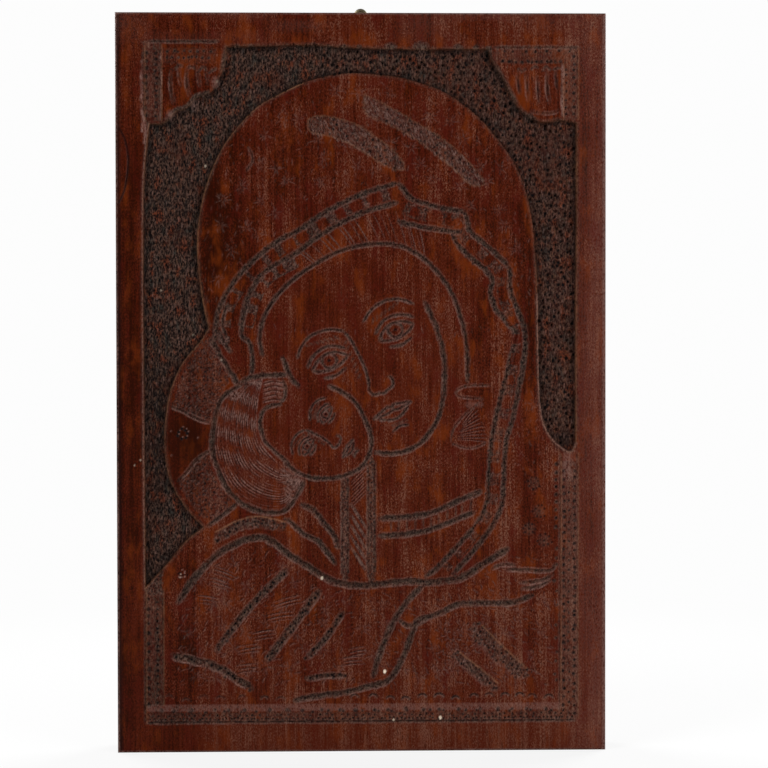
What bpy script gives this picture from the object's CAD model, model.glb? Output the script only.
import math

import bmesh
import bpy
import numpy as np
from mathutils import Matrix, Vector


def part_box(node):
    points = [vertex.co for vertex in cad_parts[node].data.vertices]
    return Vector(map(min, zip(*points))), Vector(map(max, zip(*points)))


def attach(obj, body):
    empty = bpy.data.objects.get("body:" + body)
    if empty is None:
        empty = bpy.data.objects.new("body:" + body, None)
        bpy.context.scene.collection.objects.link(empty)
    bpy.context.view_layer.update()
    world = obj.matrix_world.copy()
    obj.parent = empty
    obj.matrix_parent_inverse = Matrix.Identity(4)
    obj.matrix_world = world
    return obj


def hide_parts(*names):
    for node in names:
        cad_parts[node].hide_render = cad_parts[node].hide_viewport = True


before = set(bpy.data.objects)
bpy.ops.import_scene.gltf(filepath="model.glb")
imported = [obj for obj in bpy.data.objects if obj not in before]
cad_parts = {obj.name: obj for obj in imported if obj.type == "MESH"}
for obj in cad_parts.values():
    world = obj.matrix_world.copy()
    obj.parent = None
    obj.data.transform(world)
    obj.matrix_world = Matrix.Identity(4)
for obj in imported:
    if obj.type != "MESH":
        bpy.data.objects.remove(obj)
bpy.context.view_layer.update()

# The plank. One board of close-grained wood, planed flat, its arrises eased with a file, then
# stained red-brown and waxed. All the carving is cut into this one board, so each cut below goes
# into a map of depths over its front, in millimetres, before the surface itself is made.
MM = 0.001
ARRIS = 1.2
MAP_PITCH = 0.35
LINE_STEP = 0.2
MASKS = ("ground", "grime", "pit", "worn", "dust", "chip", "skin", "calm", "tone")
FULL_TURN = 2 * math.pi
chance = np.random.default_rng(11)


def in_mm(corners):
    """The lowest and highest corner of a box, from metres to millimetres."""
    return [1000 * np.array(corner) for corner in corners]


plank_low, plank_high = in_mm(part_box("carved_panel"))
plank_size = (plank_high - plank_low)[[0, 2]]
flat_low = plank_low[[0, 2]] + ARRIS
flat_size = plank_size - 2 * ARRIS
counts = np.rint(flat_size / MAP_PITCH).astype(int) + 1
step = flat_size / (counts - 1)
map_x, map_z = (flat_low[i] + np.arange(counts[i]) * step[i] for i in (0, 1))
share_x, share_z = (np.arange(n) / n for n in counts)
layers = {kind: np.zeros((counts[1], counts[0])) for kind in ("depth",) + MASKS}
depth = layers["depth"]


def on_face(shares):
    """Shares of the plank's width from the left and height from the bottom, in percent, become
    millimetres across and up."""
    return plank_low[[0, 2]] + np.array(shares, float) / 100 * plank_size


def smooth_line(shares, spacing=LINE_STEP):
    """A curve through places given in percent. Each stretch is the Catmull-Rom cubic of its four
    nearest places, and the whole is cut into equal steps along its length."""
    p = on_face(shares)
    p = np.vstack([2 * p[0] - p[1], p, 2 * p[-1] - p[-2]])
    t = np.linspace(0, 1, 32, endpoint=False)[:, None]
    a, b, c, d = (p[i:len(p) - 3 + i, None] for i in range(4))
    curve = 0.5 * (2 * b + (c - a) * t + (2 * a - 5 * b + 4 * c - d) * t**2
                   + (3 * b - a - 3 * c + d) * t**3)
    return even_steps(np.vstack([curve.reshape(-1, 2), p[-2:-1]]), spacing)


def even_steps(points, spacing=LINE_STEP):
    """The same line, cut again into equal steps of about this length."""
    along = np.concatenate([[0], np.cumsum(np.hypot(*np.diff(points, axis=0).T))])
    at = np.linspace(0, along[-1], max(2, int(along[-1] / spacing) + 1))
    return np.column_stack([np.interp(at, along, points[:, i]) for i in (0, 1)])


def closed_curve(shares):
    """The curve through places given in percent and back to the first."""
    return smooth_line(shares + shares[:1])


def straight_line(shares):
    return even_steps(on_face(shares))


def reached(places, reach, tall=1.0):
    """The map points round each place: their rows and columns, and how far they are from it."""
    near = np.ceil(reach * np.array([1, tall]) / step).astype(int) + 1
    home = np.rint((places - flat_low) / step).astype(int)
    col = home[:, 0, None, None] + np.arange(-near[0], near[0] + 1)[None, None, :]
    row = home[:, 1, None, None] + np.arange(-near[1], near[1] + 1)[None, :, None]
    across = flat_low[0] + col * step[0] - places[:, 0, None, None]
    up = flat_low[1] + row * step[1] - places[:, 1, None, None]
    far = np.hypot(across, up / tall)
    row, col = np.broadcast_arrays(row, col)
    inside = (col >= 0) & (col < counts[0]) & (row >= 0) & (row < counts[1])
    return row, col, far, inside


def press(places, radius, deep, section=2.0, tall=1.0, layer="depth"):
    """Marks of one tool. A mark falls from its depth in the middle to nothing at its radius, as
    1 - (distance / radius) ** section, and at each point the deepest mark wins. A tall mark is
    longer up the plank than across."""
    if len(places) == 0:
        return
    radius = np.broadcast_to(radius, len(places))[:, None, None]
    deep = np.broadcast_to(deep, len(places))[:, None, None]
    row, col, far, inside = reached(places, radius.max(), tall)
    mark = deep * (1 - (far / radius) ** section)
    hit = inside & (mark > 0)
    np.maximum.at(layers[layer], (row[hit], col[hit]), mark[hit])


def stain(layer, places, radius, amount, section=2.0, tall=1.0):
    """The same marks as press makes, in one of the maps of wax, dust and wear."""
    press(places, radius, amount, section, tall, layer)


def distance_from(places, reach):
    """How far each point of the front is from the nearest of the places, up to reach."""
    row, col, far, inside = reached(places, reach)
    distance = np.full(depth.shape, float(reach))
    np.minimum.at(distance, (row[inside], col[inside]), far[inside])
    return distance


def within(outline):
    """True inside a closed outline: along each row of the map, the outline's crossings to the
    left of a point are counted, and an odd number means inside."""
    a, b = outline, np.roll(outline, -1, axis=0)
    row_a, row_b = (np.floor((p[:, 1] - flat_low[1]) / step[1]).astype(int) for p in (a, b))
    crossings = np.zeros(depth.shape, int)
    for ahead in range(1, 4):
        row = np.minimum(row_a, row_b) + ahead
        met = (row <= np.maximum(row_a, row_b)) & (row >= 0) & (row < counts[1])
        height = flat_low[1] + row[met] * step[1]
        share = (height - a[met, 1]) / (b[met, 1] - a[met, 1])
        across = a[met, 0] + share * (b[met, 0] - a[met, 0])
        col = np.clip(np.ceil((across - flat_low[0]) / step[0]).astype(int), 0, counts[0] - 1)
        np.add.at(crossings, (row[met], col), 1)
    return np.cumsum(crossings, axis=1) % 2 == 1


def nearest(places):
    """The row and column of the map point nearest to each place."""
    col, row = np.clip(np.rint((places - flat_low) / step).astype(int), 0, counts - 1).T
    return row, col


def cloud(size_across, size_up):
    """Soft random hills between -1 and 1: random heights on a coarse grid, joined by smooth
    steps in both directions."""
    n = (flat_size / (size_across, size_up)).astype(int) + 3
    rough = chance.uniform(-1, 1, (n[1], n[0]))
    x, z = (np.arange(counts[i]) * step[i] / (size_across, size_up)[i] for i in (0, 1))
    i, j = x.astype(int), z.astype(int)
    s, t = (f * f * (3 - 2 * f) for f in (x - i, z - j))
    low = rough[j][:, i] * (1 - s) + rough[j][:, i + 1] * s
    high = rough[j + 1][:, i] * (1 - s) + rough[j + 1][:, i + 1] * s
    return low * (1 - t[:, None]) + high * t[:, None]


def wander(along, scale):
    """A value between -1 and 1 that drifts along a line, with a new random knot every scale."""
    knots = np.arange(0, along[-1] + 2 * scale, scale)
    return np.interp(along, knots, chance.uniform(-1, 1, knots.size))


def patchy(line, base, swing, scale, low=0.0):
    """A strength along a line that drifts about a base, kept from low to 1."""
    along = np.arange(len(line)) * LINE_STEP
    return np.clip(base + swing * wander(along, scale), low, 1)


def heading(angle):
    """Steps of 1 mm at these angles, from the right towards the top."""
    return np.column_stack([np.cos(angle), np.sin(angle)])


def lay_over(layer, value, where):
    """Raises a map to a value inside a mask, where it isn't higher already."""
    value = np.broadcast_to(value, depth.shape)
    layers[layer][where] = np.maximum(layers[layer][where], value[where])


# The sunk ground. The carver cut the background down with a gouge and beat it with a point, so
# the figures and the rim stand out. It is left rough and holds dark wax and grey dust.
GROUND_DEPTH = 2.5
WALL_WIDTH = 0.9
CORNER_WIDTH = 0.5
SHADE_REACH = 2.4
shoulder_edge = [(5.7, 22.3), (10.5, 25.8), (14, 28.6), (17.7, 30.6)]
halo_edge = [
    (17.7, 30.6), (14.8, 32.6), (12.5, 34.8), (10.9, 37), (10.1, 39.5), (9.8, 42.5),
    (10.1, 45.5), (10.9, 48.6), (12.5, 51.5), (14, 53.2), (15.8, 54.6), (17.4, 55.9),
    (18.9, 57.5),
]
veil_edge = [
    (18.9, 57.5), (17.8, 60.8), (16.9, 65), (16.6, 68.6), (17, 72.2), (18.1, 75.8),
    (19.9, 79.2), (22.4, 82.4), (25.5, 85), (29.2, 87.4), (33.5, 89), (38.2, 90.5),
    (43, 91.4), (47.5, 91.8), (52, 91.7), (57.3, 91.3), (62, 90.5), (66.2, 89.5), (70, 88),
    (73.8, 86), (77, 83.6), (80, 81), (82.5, 78), (84, 74.8), (85, 71), (85.6, 66.6),
    (85.9, 62), (86, 56), (86.2, 50), (86.4, 47.6), (86.8, 45.5), (87.5, 44), (88.5, 42.8),
    (90.3, 41.5), (92.1, 40.7), (93.2, 40.8), (93.9, 41.8),
]
right_edge = [(93.9, 41.8), (93.9, 60), (94, 75), (94, 85.2)]
right_panel_edge = [
    (94, 85.2), (91, 85.5), (87, 85.3), (84.6, 85.8), (82.6, 86.8), (81.2, 88.1),
    (80.2, 89.5), (79, 91), (77.6, 92.6), (76.4, 94), (76, 95.1),
]
top_edge = [(76, 95.1), (68, 95.1), (58, 95.1), (48, 95.3), (40, 95.6), (31, 95.5), (22.5, 95.4)]
left_panel_edge = [
    (22.5, 95.4), (22.3, 93.6), (21.6, 91.8), (20.4, 90.3), (19.6, 89.3), (18, 88.9),
    (16.3, 88.5), (15.2, 87.6), (14, 87), (12.4, 86.7), (10.8, 85.6), (9.2, 85), (6.9, 85),
]
left_edge = [(6.9, 85), (6.5, 83), (5.9, 79), (5.6, 74), (5.5, 60), (5.6, 40), (5.7, 22.3)]
ground_lines = [
    smooth_line(line) for line in (
        shoulder_edge, halo_edge, veil_edge, right_edge, right_panel_edge, top_edge,
        left_panel_edge, left_edge,
    )
]
ground_outline = np.vstack([line[:-1] for line in ground_lines])
in_ground = within(ground_outline)
edge_distance = distance_from(ground_outline, SHADE_REACH)
floor_depth = GROUND_DEPTH - 0.25 + 0.22 * cloud(9, 14) + 0.08 * cloud(2, 3)
wall = np.clip(edge_distance / WALL_WIDTH, 0, 1) ** 0.7
lay_over("depth", floor_depth * wall, in_ground)
lay_over("depth", 0.32 * np.clip(1 - edge_distance, 0, 1) ** 2, ~in_ground)
to_right = np.clip(share_x * 2.5 - 1, 0, 1)[None, :]
lay_over("ground", np.clip(edge_distance / CORNER_WIDTH, 0, 1) * (1 - 0.16 * to_right), in_ground)
lay_over("grime", 0.35 * np.clip(1 - edge_distance / 1.6, 0, 1), ~in_ground)
shade = np.clip(1 - edge_distance / SHADE_REACH, 0, 1) ** 0.65
lay_over("pit", (0.7 + 0.3 * cloud(3, 3)) * shade, in_ground)


def scatter(inside, pitch_across, pitch_up, jitter):
    """Places in staggered rows, each moved at random, kept where the mask is true."""
    n = (flat_size / (pitch_across, pitch_up)).astype(int)
    i, j = np.meshgrid(np.arange(n[0]), np.arange(n[1]))
    across = (i + 0.5 + 0.5 * (j % 2)) * pitch_across
    places = flat_low + np.column_stack([across.ravel(), (j.ravel() + 0.5) * pitch_up])
    places = places + chance.uniform(-jitter, jitter, places.shape) * (pitch_across, pitch_up)
    return places[inside[nearest(places)]]


deep_ground = in_ground & (edge_distance > CORNER_WIDTH)


def beat_ground(inside, pitch_across, pitch_up, jitter, radius, deep, tall, dark):
    """Punch marks over the ground, each sunk from the ground's own depth."""
    places = scatter(inside, pitch_across, pitch_up, jitter)
    size = radius * chance.uniform(0.75, 1.25, len(places))
    base = depth[nearest(places)]
    extra = deep * chance.uniform(0.4, 1.1, len(places))
    row, col, far, on_map = reached(places, size.max(), tall)
    fall = 1 - (far / size[:, None, None]) ** 2.5
    hit = on_map & (fall > 0)
    mark = base[:, None, None] + extra[:, None, None] * fall
    np.maximum.at(depth, (row[hit], col[hit]), mark[hit])
    stain("pit", places, size * 0.9, dark * chance.uniform(0.4, 1, len(places)), 2.2, tall)


left_part = deep_ground & (share_x < 0.42)[None, :]
beat_ground(deep_ground, 1.2, 1.7, 0.45, 0.5, 0.4, 1.4, 0.4)
beat_ground(left_part, 1.6, 2.7, 0.5, 0.44, 0.55, 2.4, 1.5)
beat_ground(deep_ground & ~left_part, 2.7, 2.7, 0.42, 0.82, 0.9, 1.1, 1.6)
for layer, amount in (("dust", 0.55), ("worn", 0.34)):
    fibres = scatter(deep_ground, 1.7, 4.2, 0.5)
    stain(layer, fibres, 0.26, chance.uniform(0, amount, len(fibres)), 2, 5)
stain("pit", on_face([(91.2, 42.2)]), 6.0, 0.75)
outside = layers["pit"][~in_ground]
stain("pit", on_face([(8.2, 47), (8.4, 41)]), 9.0, 0.55, 1.5, 4)
layers["pit"][~in_ground] = outside

# The rim. It is left at the full thickness of the board. A row of shallow thumbnail cuts bites
# into its inner edge above the ground, and its worn inner arris has rubbed pale.
for share, size in (
    (24.6, 1.6), (27.5, 1.9), (34.2, 1.3), (37.2, 1.5), (40.1, 2.6), (43.5, 1.5), (46.4, 1.8),
    (49.6, 1.5), (56, 3.0), (62.2, 3.8), (69.8, 2.2), (73.4, 1.4),
):
    nick = on_face([(share, 95.25)])
    press(nick, size, 1.1, 2.0, 0.75)
    stain("grime", nick, size + 0.5, 0.9, 2, 0.8)


def rub(line, width, amount):
    """Pale wear along an arris, stronger in some places than in others."""
    stain("worn", line, width, amount * patchy(line, 0.75, 0.35, 7))


for line, width, amount in (
    (veil_edge[:12], 0.45, 0.75), (veil_edge[11:26], 0.35, 0.15), (veil_edge[25:], 0.4, 0.4),
    (halo_edge, 0.45, 0.45), (shoulder_edge, 0.5, 0.4),
    (left_edge, 0.3, 0.5), (right_edge, 0.4, 0.6), (right_panel_edge, 0.5, 0.2),
    (left_panel_edge, 0.5, 0.2), (top_edge, 0.5, 0.2),
):
    rub(smooth_line(line), width, amount)
stain("dust", smooth_line(veil_edge[26:]), 0.5, 0.75)
stain("dust", smooth_line(left_edge) + (-0.25, 0), 0.35, 0.5)
stain("dust", straight_line([(5.7, 86), (6.2, 84.6), (5.9, 82.4)]), 0.8, 0.7)
stain("dust", on_face([(20.3, 90.6), (16, 87.5), (11.2, 86.1)]), 2.2, 0.6, 1.2, 1.4)
for line in (right_panel_edge, left_panel_edge):
    line = smooth_line(line)
    smear = patchy(line, 0.55, 0.6, 4)
    stain("grime", line, 1.8, smear)
    stain("pit", line, 1.1, 0.6 * smear)

# A sliver has split off the left arris near the top, and the wax has filled the crack.
sliver = smooth_line([(0.4, 84.8), (1.9, 83), (2.6, 80.8), (2.5, 78.6), (1.9, 76.2), (0.7, 74.4)])
press(sliver, 0.45, 0.5, 1.5)
stain("pit", sliver, 0.6, 0.75)


# The punched borders. Inside the rim at the sides and along the foot runs a narrow band, roughened
# with a fine point and edged by rows of larger round punches between two scratched lines.
def sink(outline, deep, slope, grime):
    """A shallow flat recess inside an outline, with sloping sides, and its grime."""
    inside = within(outline)
    distance = distance_from(outline, max(slope, 0.6))
    lay_over("depth", deep * np.clip(distance / slope, 0, 1), inside)
    lay_over("grime", grime, inside)
    return inside


DOWNWARD = (-0.12, -0.99)


def lit_side(line):
    """The unit step from a line towards its lower side, whose wall looks up to the light, and how
    squarely that wall meets it."""
    ahead = np.gradient(line, axis=0)
    normal = np.column_stack([-ahead[:, 1], ahead[:, 0]]) / np.hypot(*ahead.T)[:, None]
    facing = normal @ DOWNWARD
    return normal * np.sign(facing)[:, None], np.abs(facing)


def gouge(line, width, deep, section=2.0, fade=3.0, grime=0.85, spread=0.5, core_dark=0.65,
          dusty=0.5):
    """A groove along a line. Its depth dies away at both ends and wavers between cuts. Dark wax
    lies in its bottom and grey dust on the wall that looks up. The gouges named below are tuples
    of these values, from the width on."""
    along = np.arange(len(line)) * np.hypot(*(line[1] - line[0]))
    ends = np.clip(np.minimum(along, along[-1] - along) / fade, 0, 1) ** 0.6
    cut = deep * ends * (1 + 0.16 * wander(along, 3.1))
    line = line + 0.09 * width * wander(along, 1.9)[:, None]
    half = width / 2 * (0.65 + 0.35 * ends) * (1 + 0.16 * wander(along, 2.6))
    press(line, half, cut, section)
    wax = grime * np.sqrt(ends) * np.clip(0.85 + 0.3 * wander(along, 1.3), 0, 1)
    stain("grime", line, half + spread, wax, 2.5)
    side, facing = lit_side(line)
    core = core_dark * np.clip(0.8 + 0.5 * wander(along, 1.1), 0, 1) * ends
    stain("pit", line - side * half[:, None] * 0.2, 0.3 + 0.2 * width, core, 2.5)
    dust = dusty * (0.5 + 0.5 * facing) * np.clip(0.75 + 0.5 * wander(along, 1.7), 0, 1) * ends
    stain("dust", line + side * (half[:, None] + 0.1), 0.36 + 0.05 * width, dust, 2.5)
    stain("dust", line - side * (half[:, None] + 0.35), 0.34, 0.55 * dust, 2.5)


def carve(shares, *tool):
    """A groove along the curve through places given in percent."""
    gouge(smooth_line(shares), *tool)


def beads(line, pitch, radius, deep, jitter=0.12, dark=0.95, offset=0.0):
    """A row of round punches along a line, at about equal steps, their bottoms dark. A mark in
    a groove is sunk from the groove's own depth."""
    length = len(line) * np.hypot(*(line[1] - line[0]))
    n = max(1, int(length / pitch))
    share = (np.arange(n) + 0.5 + offset + chance.uniform(-jitter, jitter, n)) / n
    places = line[np.clip((share * (len(line) - 1)).astype(int), 0, len(line) - 1)]
    places = places + chance.normal(0, jitter * 0.8, places.shape)
    size = radius * chance.uniform(0.8, 1.2, n)
    press(places, size, depth[nearest(places)] + deep * chance.uniform(0.7, 1.15, n))
    stain("pit", places, size, dark * chance.uniform(0.6, 1, n), 2.4)
    stain("grime", places, size + 0.5, 0.6)


def stipple(inside, pitch, radius, deep, dark=0.5, grime=0.55):
    """Fine point marks all over an area."""
    places = scatter(inside, pitch, pitch, 0.4)
    size = radius * chance.uniform(0.75, 1.25, len(places))
    press(places, size, depth[nearest(places)] + deep * chance.uniform(0.4, 1.1, len(places)))
    stain("pit", places, size, dark * chance.uniform(0.2, 1, len(places)))
    stain("grime", places, size + 0.7, grime * chance.uniform(0.6, 1, len(places)))


def band(left, bottom, right, top):
    return straight_line([(left, bottom), (right, bottom), (right, top), (left, top),
                          (left, bottom + 0.01)])


def upright(share, low, high):
    return straight_line([(share, low), (share + 0.05, high)])


def level(share, left, right):
    return straight_line([(left, share), (right, share + 0.03)])


punched_bands = [
    ((5.8, 6.4, 9.1, 22), 0.5, 0.48), ((5.8, 85.3, 9.1, 96), 0.5, 0.5),
    ((90.8, 4.3, 93.9, 39.4), 0.45, 0.45), ((91.1, 85.6, 94, 95.2), 0.45, 0.4),
    ((6, 4.1, 93.7, 5.4), 0.8, 0.42), ((77.4, 93.2, 94, 95.2), 0.5, 0.35),
    ((9.6, 93.1, 20.5, 95.2), 0.6, 0.15),
]
for corners, dark, grime in punched_bands:
    stipple(sink(band(*corners), 0.25, 0.6, grime * 0.7), 1.7, 0.4, 0.3, dark, grime)
wedge = straight_line([(5.8, 21.5), (9.1, 21.5), (9.1, 24.6), (5.8, 22.4), (5.8, 21.51)])
stipple(sink(wedge, 0.25, 0.6, 0.5), 1.4, 0.5, 0.3, 0.9, 0.7)
SCRIBER = (0.9, 0.35, 1.4, 2.0, 0.4, 0.5, 0.25, 0)
for share, low, high in (
    (5.7, 4, 22), (9.2, 6.4, 22.4), (94.05, 4.4, 40.6), (5.75, 85.3, 95.4), (9.2, 85.4, 95.6),
    (91, 85.6, 93.2), (94, 85.6, 95.2), (90.5, 5.2, 40.4),
):
    gouge(upright(share, low, high), *SCRIBER)
    rub(upright(share + 0.3, low, high), 0.45, 0.35)
for share, left, right, dark in ((4.1, 5.8, 93.9, 0.95), (95.3, 77, 94.5, 0.45),
                                 (96, 6.6, 21, 0.45)):
    gouge(level(share, left, right), 1.1, 0.4, 1.4, 2.0, 0.6, 0.5, dark, 0.3)
stain("dust", level(6.05, 6.6, 90.4), 1.7, 0.36, 6)
stain("dust", upright(92.2, 37.4, 40), 2.6, 0.4, 3)
for line, radius in ((straight_line([(5.25, 93.4), (5.55, 84)]), 0.75),
                     (upright(9.3, 85.6, 94.4), 0.5), (upright(91.05, 86.2, 92.9), 0.85)):
    along = np.arange(len(line)) * LINE_STEP
    line = line + 0.35 * wander(along, 2.6)[:, None] * (1, 0)
    stain("dust", line, radius, 0.85 * patchy(line, 0.6, 0.7, 2.2, 0.1))
for share, low, high, pitch, radius in (
    (6.3, 6, 21.5, 3.6, 1.1), (8.2, 6.4, 21, 2.6, 0.8), (6.3, 85.8, 95, 3.1, 1.05),
    (89.75, 30, 39.6, 3.3, 0.85),
    (8.3, 85.8, 95, 2.6, 0.8), (91.35, 4.8, 38.6, 3.3, 0.8), (93.5, 4.8, 38.6, 3.1, 0.85),
    (92.4, 6, 36, 4.2, 0.55), (91.8, 86, 93, 3.1, 0.6), (93.4, 86, 94.6, 2.8, 0.78),
):
    beads(upright(share, low, high), pitch, radius, 0.6, 0.2, 1.15)
for share, left, right, pitch, radius in (
    (5.65, 6.8, 90, 7.4, 0.85), (5.5, 9, 90, 7.4, 0.6), (5.0, 6.4, 93.4, 3.1, 0.5),
    (4.5, 6.4, 93.4, 1.7, 0.55),
    (94.8, 77.8, 93.6, 4.4, 0.66), (93.45, 78.4, 91.2, 2.05, 0.75), (93.9, 10.3, 19.4, 2.1, 0.62),
    (94.8, 10, 20, 2.4, 0.56),
):
    beads(level(share, left, right), pitch, radius, 0.6, 0.25, 1.15)
beads(upright(89.75, 8, 29), 5.2, 0.6, 0.5, 0.4, 0.7)

# The corner panels. Two small fields in the top corners stay level with the rim. Each is cut
# with a few plain upright flutes, and with small hooks above them.
FLUTER = (1.3, 0.5, 1.6, 7, 0.3, 0.4)
HOOK_VEINER = (1.0, 0.3, 1.6, 0.8, 0.5, 0.3, 0.5, 0.4)
flute_places = [
    (11.4, 92.4, 87.6), (13, 92.8, 90), (14.6, 92.5, 88.6), (16.8, 92.7, 89.9),
    (18.4, 92.3, 90.2), (81.9, 92.2, 89), (83.6, 91.8, 88), (85.8, 91.6, 87.8),
    (87.9, 92.2, 87.6), (89.6, 92.2, 89.4),
]
for number, (share, top, foot) in enumerate(flute_places):
    bow = chance.uniform(-0.2, 0.5)
    dark = 0.4 + 0.6 * (number % 2) if share > 50 else 0.3
    carve([(share, top), (share + bow, (top + foot) / 2), (share + 0.5, foot)],
          *FLUTER, dark, 0.9)
for share in (82, 84.6, 87, 89.2, 12.2, 14.6, 17, 19):
    rise = chance.uniform(-0.5, 0.4, 3)
    carve([(share, 92.2 + rise[0]), (share + 0.8, 92.6 + rise[1]), (share + 1.6, 92.3 + rise[2])],
          *HOOK_VEINER)
carve([(84.5, 86.7), (88.4, 86.4), (90.6, 86.9)], 1.2, 0.3, 2.0, 4, 0.3, 0.4, 0.2, 0.5)

# The veil. The mother's veil is left as a smooth field. Two bands of light along its crown are
# roughened between raised lines, and small stars are punched over it.
upper_light = [
    (50.5, 89), (55.5, 87.4), (60, 85.7), (65.2, 83.6), (70, 81.2), (75, 77.2),
    (72.4, 76.8), (69.4, 78.6), (64.8, 81.2), (60, 83.4), (55.4, 85), (51, 86.4),
]
lower_light = [
    (39.2, 85.7), (41.7, 86.1), (46.1, 85.6), (49.7, 84.7), (52.4, 83.5), (55.5, 82),
    (58.3, 80.1), (58.6, 78.8), (55.5, 79.2), (52.9, 80.2), (49.7, 81.6), (46.1, 82.8),
    (43, 83.4), (39.4, 84.1),
]
light_strokes = []
for outline in (upper_light, lower_light):
    edge = closed_curve(outline)
    inside = sink(edge, 0.22, 0.8, 0.35)
    stipple(inside, 1.3, 0.5, 0.4, 0.45, 0.45)
    start = on_face(outline[:1])[0, 0] + 8
    darker = inside & (map_x > start)[None, :]
    stipple(darker, 2.3, 0.75, 0.5, 1.3, 0.6)
    light_strokes.append(scatter(inside, 1.15, 1.9, 0.4))
    rub(edge, 0.4, 0.3)
carve([(27, 81.9), (27.9, 80.3), (27.2, 79.2), (26.6, 78.6)], 0.8, 0.25, 1.5, 2, 0.35)


# The hem of the veil. Two gouged grooves run round the face and down the right side. Each is
# beaded with a round punch, and the strip between them is cut into small raised squares.
HEM_GOUGE = (2.0, 0.85, 2.2, 2.5, 0.85, 0.4, 0.3, 0.4)
outer_hem = [
    (20.2, 55.5), (21, 60), (24, 63.7), (28, 66.6), (32.5, 69), (38, 71), (43, 73.2),
    (50, 75.5), (57.3, 77),
]
outer_hem_step = [(57.3, 77.1), (58.8, 76), (60.3, 74.9), (65.5, 73.8), (71, 73.1)]
outer_hem_right = [
    (71, 73.2), (71.6, 71.6), (72.3, 70.4), (75, 68.9), (78.5, 66.8), (80.2, 65.2),
    (80.4, 62.6), (82, 59.5), (83.3, 57), (83.3, 54), (82.3, 50), (80.8, 45), (79.5, 42),
    (79, 37), (78.6, 33.5), (76.5, 30.5), (72.5, 27), (68.5, 24),
]
inner_hem = [
    (25.3, 58), (26.8, 61.5), (30, 65), (36, 67.3), (42, 70.2), (50, 73), (57.3, 74.4),
]
inner_hem_step = [(57.4, 71.8), (61, 71.3), (66, 70.7), (70.6, 70.3)]
inner_hem_right = [
    (68.4, 70.2), (70.5, 68), (75.3, 65.3), (76.8, 63.8), (76.3, 62.3), (77.5, 60), (80, 58),
    (81.5, 56.5), (80.5, 53.5), (79, 49.5), (77.5, 45.5), (76.5, 42), (76, 37),
    (75.5, 33.5), (73, 30.5), (69, 27.5), (65.5, 25), (63, 23.8),
]
for shares in (outer_hem, outer_hem_step, outer_hem_right, inner_hem, inner_hem_step,
               inner_hem_right):
    line = smooth_line(shares)
    gouge(line, *HEM_GOUGE)
    beads(line, 1.5, 0.58, 0.4, 0.5, 1.15)


def beside(line, offset):
    """The same line moved sideways by an offset, along its normals."""
    along = np.gradient(line, axis=0)
    normal = np.column_stack([-along[:, 1], along[:, 0]]) / np.hypot(*along.T)[:, None]
    return line + normal * offset


def ladder(line, other, pitch, width, deep, grime, lean=0.0, dusty=0.0):
    """Short cuts across the strip between two lines, at equal steps."""
    n = max(2, int(len(line) * np.hypot(*(line[1] - line[0])) / pitch))
    share = (np.arange(n) + 0.5) / n + chance.uniform(-0.1, 0.1, n) / n
    start = line[(share * (len(line) - 1)).astype(int)]
    end = other[(np.clip(share + lean, 0, 1) * (len(other) - 1)).astype(int)]
    scratch(start, end, width, deep, grime, dusty)


def scratch(start, end, width, deep, grime=0.6, dusty=0.0):
    """Many fine straight cuts at once, each from a start to an end, deepest in the middle."""
    t = np.linspace(0, 1, 48)
    places = start[:, None] + (end - start)[:, None] * t[None, :, None]
    fall = (np.sin(np.pi * np.clip(t, 0.04, 0.96)) ** 0.5)[None, :]
    deep = np.broadcast_to(deep, len(start))[:, None] * fall
    places = places.reshape(-1, 2)
    press(places, width / 2, deep.ravel(), 1.5)
    wax = np.broadcast_to(grime * fall, deep.shape)
    stain("grime", places, width / 2 + 0.35, wax.ravel())
    if np.any(dusty):
        pale = np.broadcast_to(dusty * fall, deep.shape)
        stain("dust", places + (0.12, -0.12), width / 2 + 0.1, pale.ravel())


def engrave(start, end, light, bend=0.0, dark=1.5):
    """Many hair-fine curved cuts, each dark along one side and pale along the other."""
    t = np.linspace(0, 1, 24)[None, :, None]
    ahead = (end - start)[:, None]
    aside = np.stack([-ahead[..., 1], ahead[..., 0]], axis=-1)
    places = start[:, None] + ahead * t + aside * (np.reshape(bend, (-1, 1, 1)) * t * (1 - t))
    fall = (np.sin(np.pi * np.clip(t[..., 0], 0.06, 0.94)) ** 0.4)
    strength = (np.broadcast_to(light, len(start))[:, None] * fall).ravel()
    places = places.reshape(-1, 2)
    press(places, 0.32, 0.5 * strength, 1.5)
    stain("pit", places + (-0.17, 0.17), 0.32, dark * strength)
    stain("dust", places + (0.17, -0.17), 0.32, strength)


def slips(places, turn, shortest, longest, faintest, palest, bend=0.0, dark=1.5):
    """Hair-fine cuts that leave places at given angles, of random length and strength."""
    way = heading(turn) * chance.uniform(shortest, longest, (len(turn), 1))
    engrave(places, places + way, chance.uniform(faintest, palest, len(places)), bend, dark)


for start in light_strokes:
    lean = chance.normal(0.5, 0.2, len(start))
    way = np.column_stack([np.sin(lean), -np.cos(lean)]) * chance.uniform(1, 2.2, (len(start), 1))
    engrave(start, start + way, chance.uniform(0.15, 0.9, len(start)), 0.0, 1.2)


BEATEN_STEP = 0.3


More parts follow.
